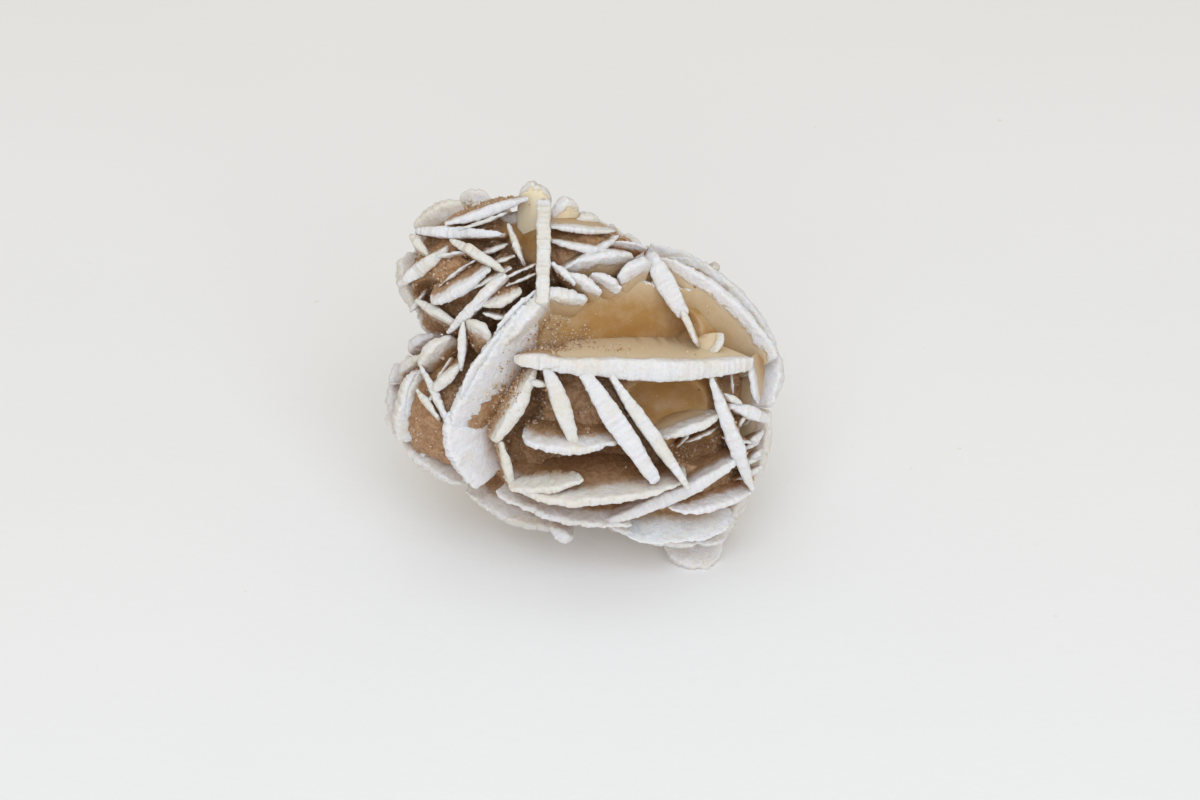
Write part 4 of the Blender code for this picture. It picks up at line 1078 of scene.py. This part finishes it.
class StageSettings(bpy.types.PropertyGroup):
    """The table, the lights and the camera."""

    lens: number("Lens", "Focal length, in mm", 150.0, 20.0, 400.0)
    elevation: FloatProperty(name="Elevation", description="Height of the view over the table",
                             default=math.radians(30), subtype="ANGLE", unit="ROTATION")
    view_width: number("View width", "Width of the view at the rose", 0.132, 0.01, 3.0, unit="LENGTH")
    picture_right: number("Picture right", "How far right of the heart the view is centred", 1.76 * MM,
                          -0.1, 0.1, unit="LENGTH")
    picture_down: number("Picture down", "How far below the heart the view is centred", 2.53 * MM,
                         -0.1, 0.1, unit="LENGTH")
    key: number("Key light", "Strength of the soft lights", 1.0)
    fill: number("Fill light", "Strength of the light from all round", 1.0)


# ---------------------------------------------------------------- operators


def finish_gypsum(piece):
    """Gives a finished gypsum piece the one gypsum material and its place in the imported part."""
    material = bpy.data.materials.get(GYPSUM) or gypsum_material(bpy.context.scene.sand_rose_finish)
    piece.data.materials.append(material)
    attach(piece, "root")
    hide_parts("sand_rose")


class SANDROSE_OT_heart(bpy.types.Operator):
    """Grows the sandy heart that the blades stand on"""

    bl_idname = "sand_rose.heart"
    bl_label = "Grow the heart"

    def execute(self, context):
        settings = context.scene.sand_rose
        finish_gypsum(fuse("heart", [lump_mesh(*lump, settings) for lump in HEART_LUMPS]))
        return {"FINISHED"}


class SANDROSE_OT_face_blades(bpy.types.Operator):
    """Grows the blades of one region of the face"""

    bl_idname = "sand_rose.face_blades"
    bl_label = "Grow blades of the face"

    group: EnumProperty(name="Group", description="Region of the face",
                        items=[(name, name.title(), f"The {name} blades") for name in FACE_BLADES])

    def execute(self, context):
        settings = context.scene.sand_rose
        blades = face_blades(self.group)
        tones = random.Random(self.group)
        meshes = [blade_mesh(blade, settings.face_step, tones.random(), settings) for blade in blades]
        finish_gypsum(fuse(self.group + "_blades", meshes))
        return {"FINISHED"}


class SANDROSE_OT_side_blades(bpy.types.Operator):
    """Grows the blades of the sides, the back and the feet, and the small ones between them"""

    bl_idname = "sand_rose.side_blades"
    bl_label = "Grow blades of the sides"

    def execute(self, context):
        settings = context.scene.sand_rose
        tones = random.Random(3)
        for name, blades in (("side_blades", side_blades()), ("small_blades", small_blades(settings))):
            meshes = [blade_mesh(blade, settings.side_step, tones.random(), settings) for blade in blades]
            finish_gypsum(fuse(name, meshes))
        return {"FINISHED"}


class SANDROSE_OT_grains(bpy.types.Operator):
    """Puts sand grains in the recesses of the rose"""

    bl_idname = "sand_rose.grains"
    bl_label = "Hold the sand grains"

    def execute(self, context):
        settings = context.scene.sand_rose
        gypsum = [thing for thing in context.scene.objects
                  if thing.type == "MESH" and "growth" in thing.data.attributes]
        if not gypsum:
            raise RuntimeError("grow the heart and the blades first: the grains lie on them")
        mesh = grain_mesh("sand_grains", gypsum, settings)
        mesh.materials.append(grain_material(context.scene.sand_rose_finish))
        grains = add_object("sand_grains", mesh)
        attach(grains, "root")
        return {"FINISHED"}


def aim(thing, at):
    """Turns a camera or a light to look at a point."""
    thing.rotation_euler = (Vector(at) - thing.location).to_track_quat("-Z", "Y").to_euler()


def soft_light(name, at, place, size, power):
    """A square area light that looks at a point."""
    light = bpy.data.lights.new(name, "AREA")
    light.size, light.energy, light.color = size, power, LIGHT_COLOUR
    made = add_object(name, light)
    made.location = place
    aim(made, at)


class SANDROSE_OT_stage(bpy.types.Operator):
    """Lays the pale table, hangs the soft lights and places the camera"""

    bl_idname = "sand_rose.stage"
    bl_label = "Set the stage"

    def execute(self, context):
        scene, stage = context.scene, context.scene.sand_rose_stage
        bpy.ops.mesh.primitive_circle_add(vertices=TABLE_CORNERS, radius=TABLE_RADIUS, fill_type="NGON",
                                          location=(0, 0, 0))
        table = context.object
        table.name = "table"
        table.data.materials.append(table_material(scene.sand_rose_finish))

        world = bpy.data.worlds.new("soft surroundings")
        world.use_nodes = True
        background = world.node_tree.nodes["Background"]
        background.inputs["Color"].default_value = SKY_COLOUR
        background.inputs["Strength"].default_value = SKY_STRENGTH * stage.fill
        scene.world = world
        heart = Vector(HEART_CENTRE * MM)
        for name, (place, size, power) in LIGHTS.items():
            soft_light(name, heart, place, size, power * stage.key)

        camera = bpy.data.cameras.new("camera")
        camera.lens, camera.sensor_width, camera.clip_start = stage.lens, SENSOR_WIDTH, NEAREST_SEEN
        made = add_object("camera", camera)
        distance = stage.view_width * stage.lens / camera.sensor_width
        back = Vector((0, -math.cos(stage.elevation), math.sin(stage.elevation)))
        rise = Vector((0, math.sin(stage.elevation), math.cos(stage.elevation)))
        centre = heart + Vector(ACROSS) * stage.picture_right - rise * stage.picture_down
        made.location = centre + back * distance
        aim(made, centre)
        scene.camera = made
        scene.view_settings.view_transform = "Standard"
        return {"FINISHED"}


class SANDROSE_PT_panel(bpy.types.Panel):
    """Lists the settings and the steps"""

    bl_idname = "SANDROSE_PT_panel"
    bl_label = "Sand rose"
    bl_space_type = "VIEW_3D"
    bl_region_type = "UI"
    bl_category = "Sand rose"

    def draw(self, context):
        for group in (context.scene.sand_rose, context.scene.sand_rose_finish, context.scene.sand_rose_stage):
            box = self.layout.box()
            for name in group.__annotations__:
                box.prop(group, name)
        for step in STEPS:
            self.layout.operator(step.bl_idname)


STEPS = (SANDROSE_OT_heart, SANDROSE_OT_face_blades, SANDROSE_OT_side_blades, SANDROSE_OT_grains,
         SANDROSE_OT_stage)
CLASSES = (RoseSettings, FinishSettings, StageSettings, *STEPS, SANDROSE_PT_panel)


def register():
    for made in CLASSES:
        bpy.utils.register_class(made)
    bpy.types.Scene.sand_rose = PointerProperty(type=RoseSettings)
    bpy.types.Scene.sand_rose_finish = PointerProperty(type=FinishSettings)
    bpy.types.Scene.sand_rose_stage = PointerProperty(type=StageSettings)


def unregister():
    del bpy.types.Scene.sand_rose_stage, bpy.types.Scene.sand_rose_finish, bpy.types.Scene.sand_rose
    for made in reversed(CLASSES):
        bpy.utils.unregister_class(made)


def main():
    register()
    bpy.ops.sand_rose.heart()
    for group in FACE_BLADES:
        bpy.ops.sand_rose.face_blades(group=group)
    bpy.ops.sand_rose.side_blades()
    bpy.ops.sand_rose.grains()
    bpy.ops.sand_rose.stage()


if __name__ == "__main__":
    main()
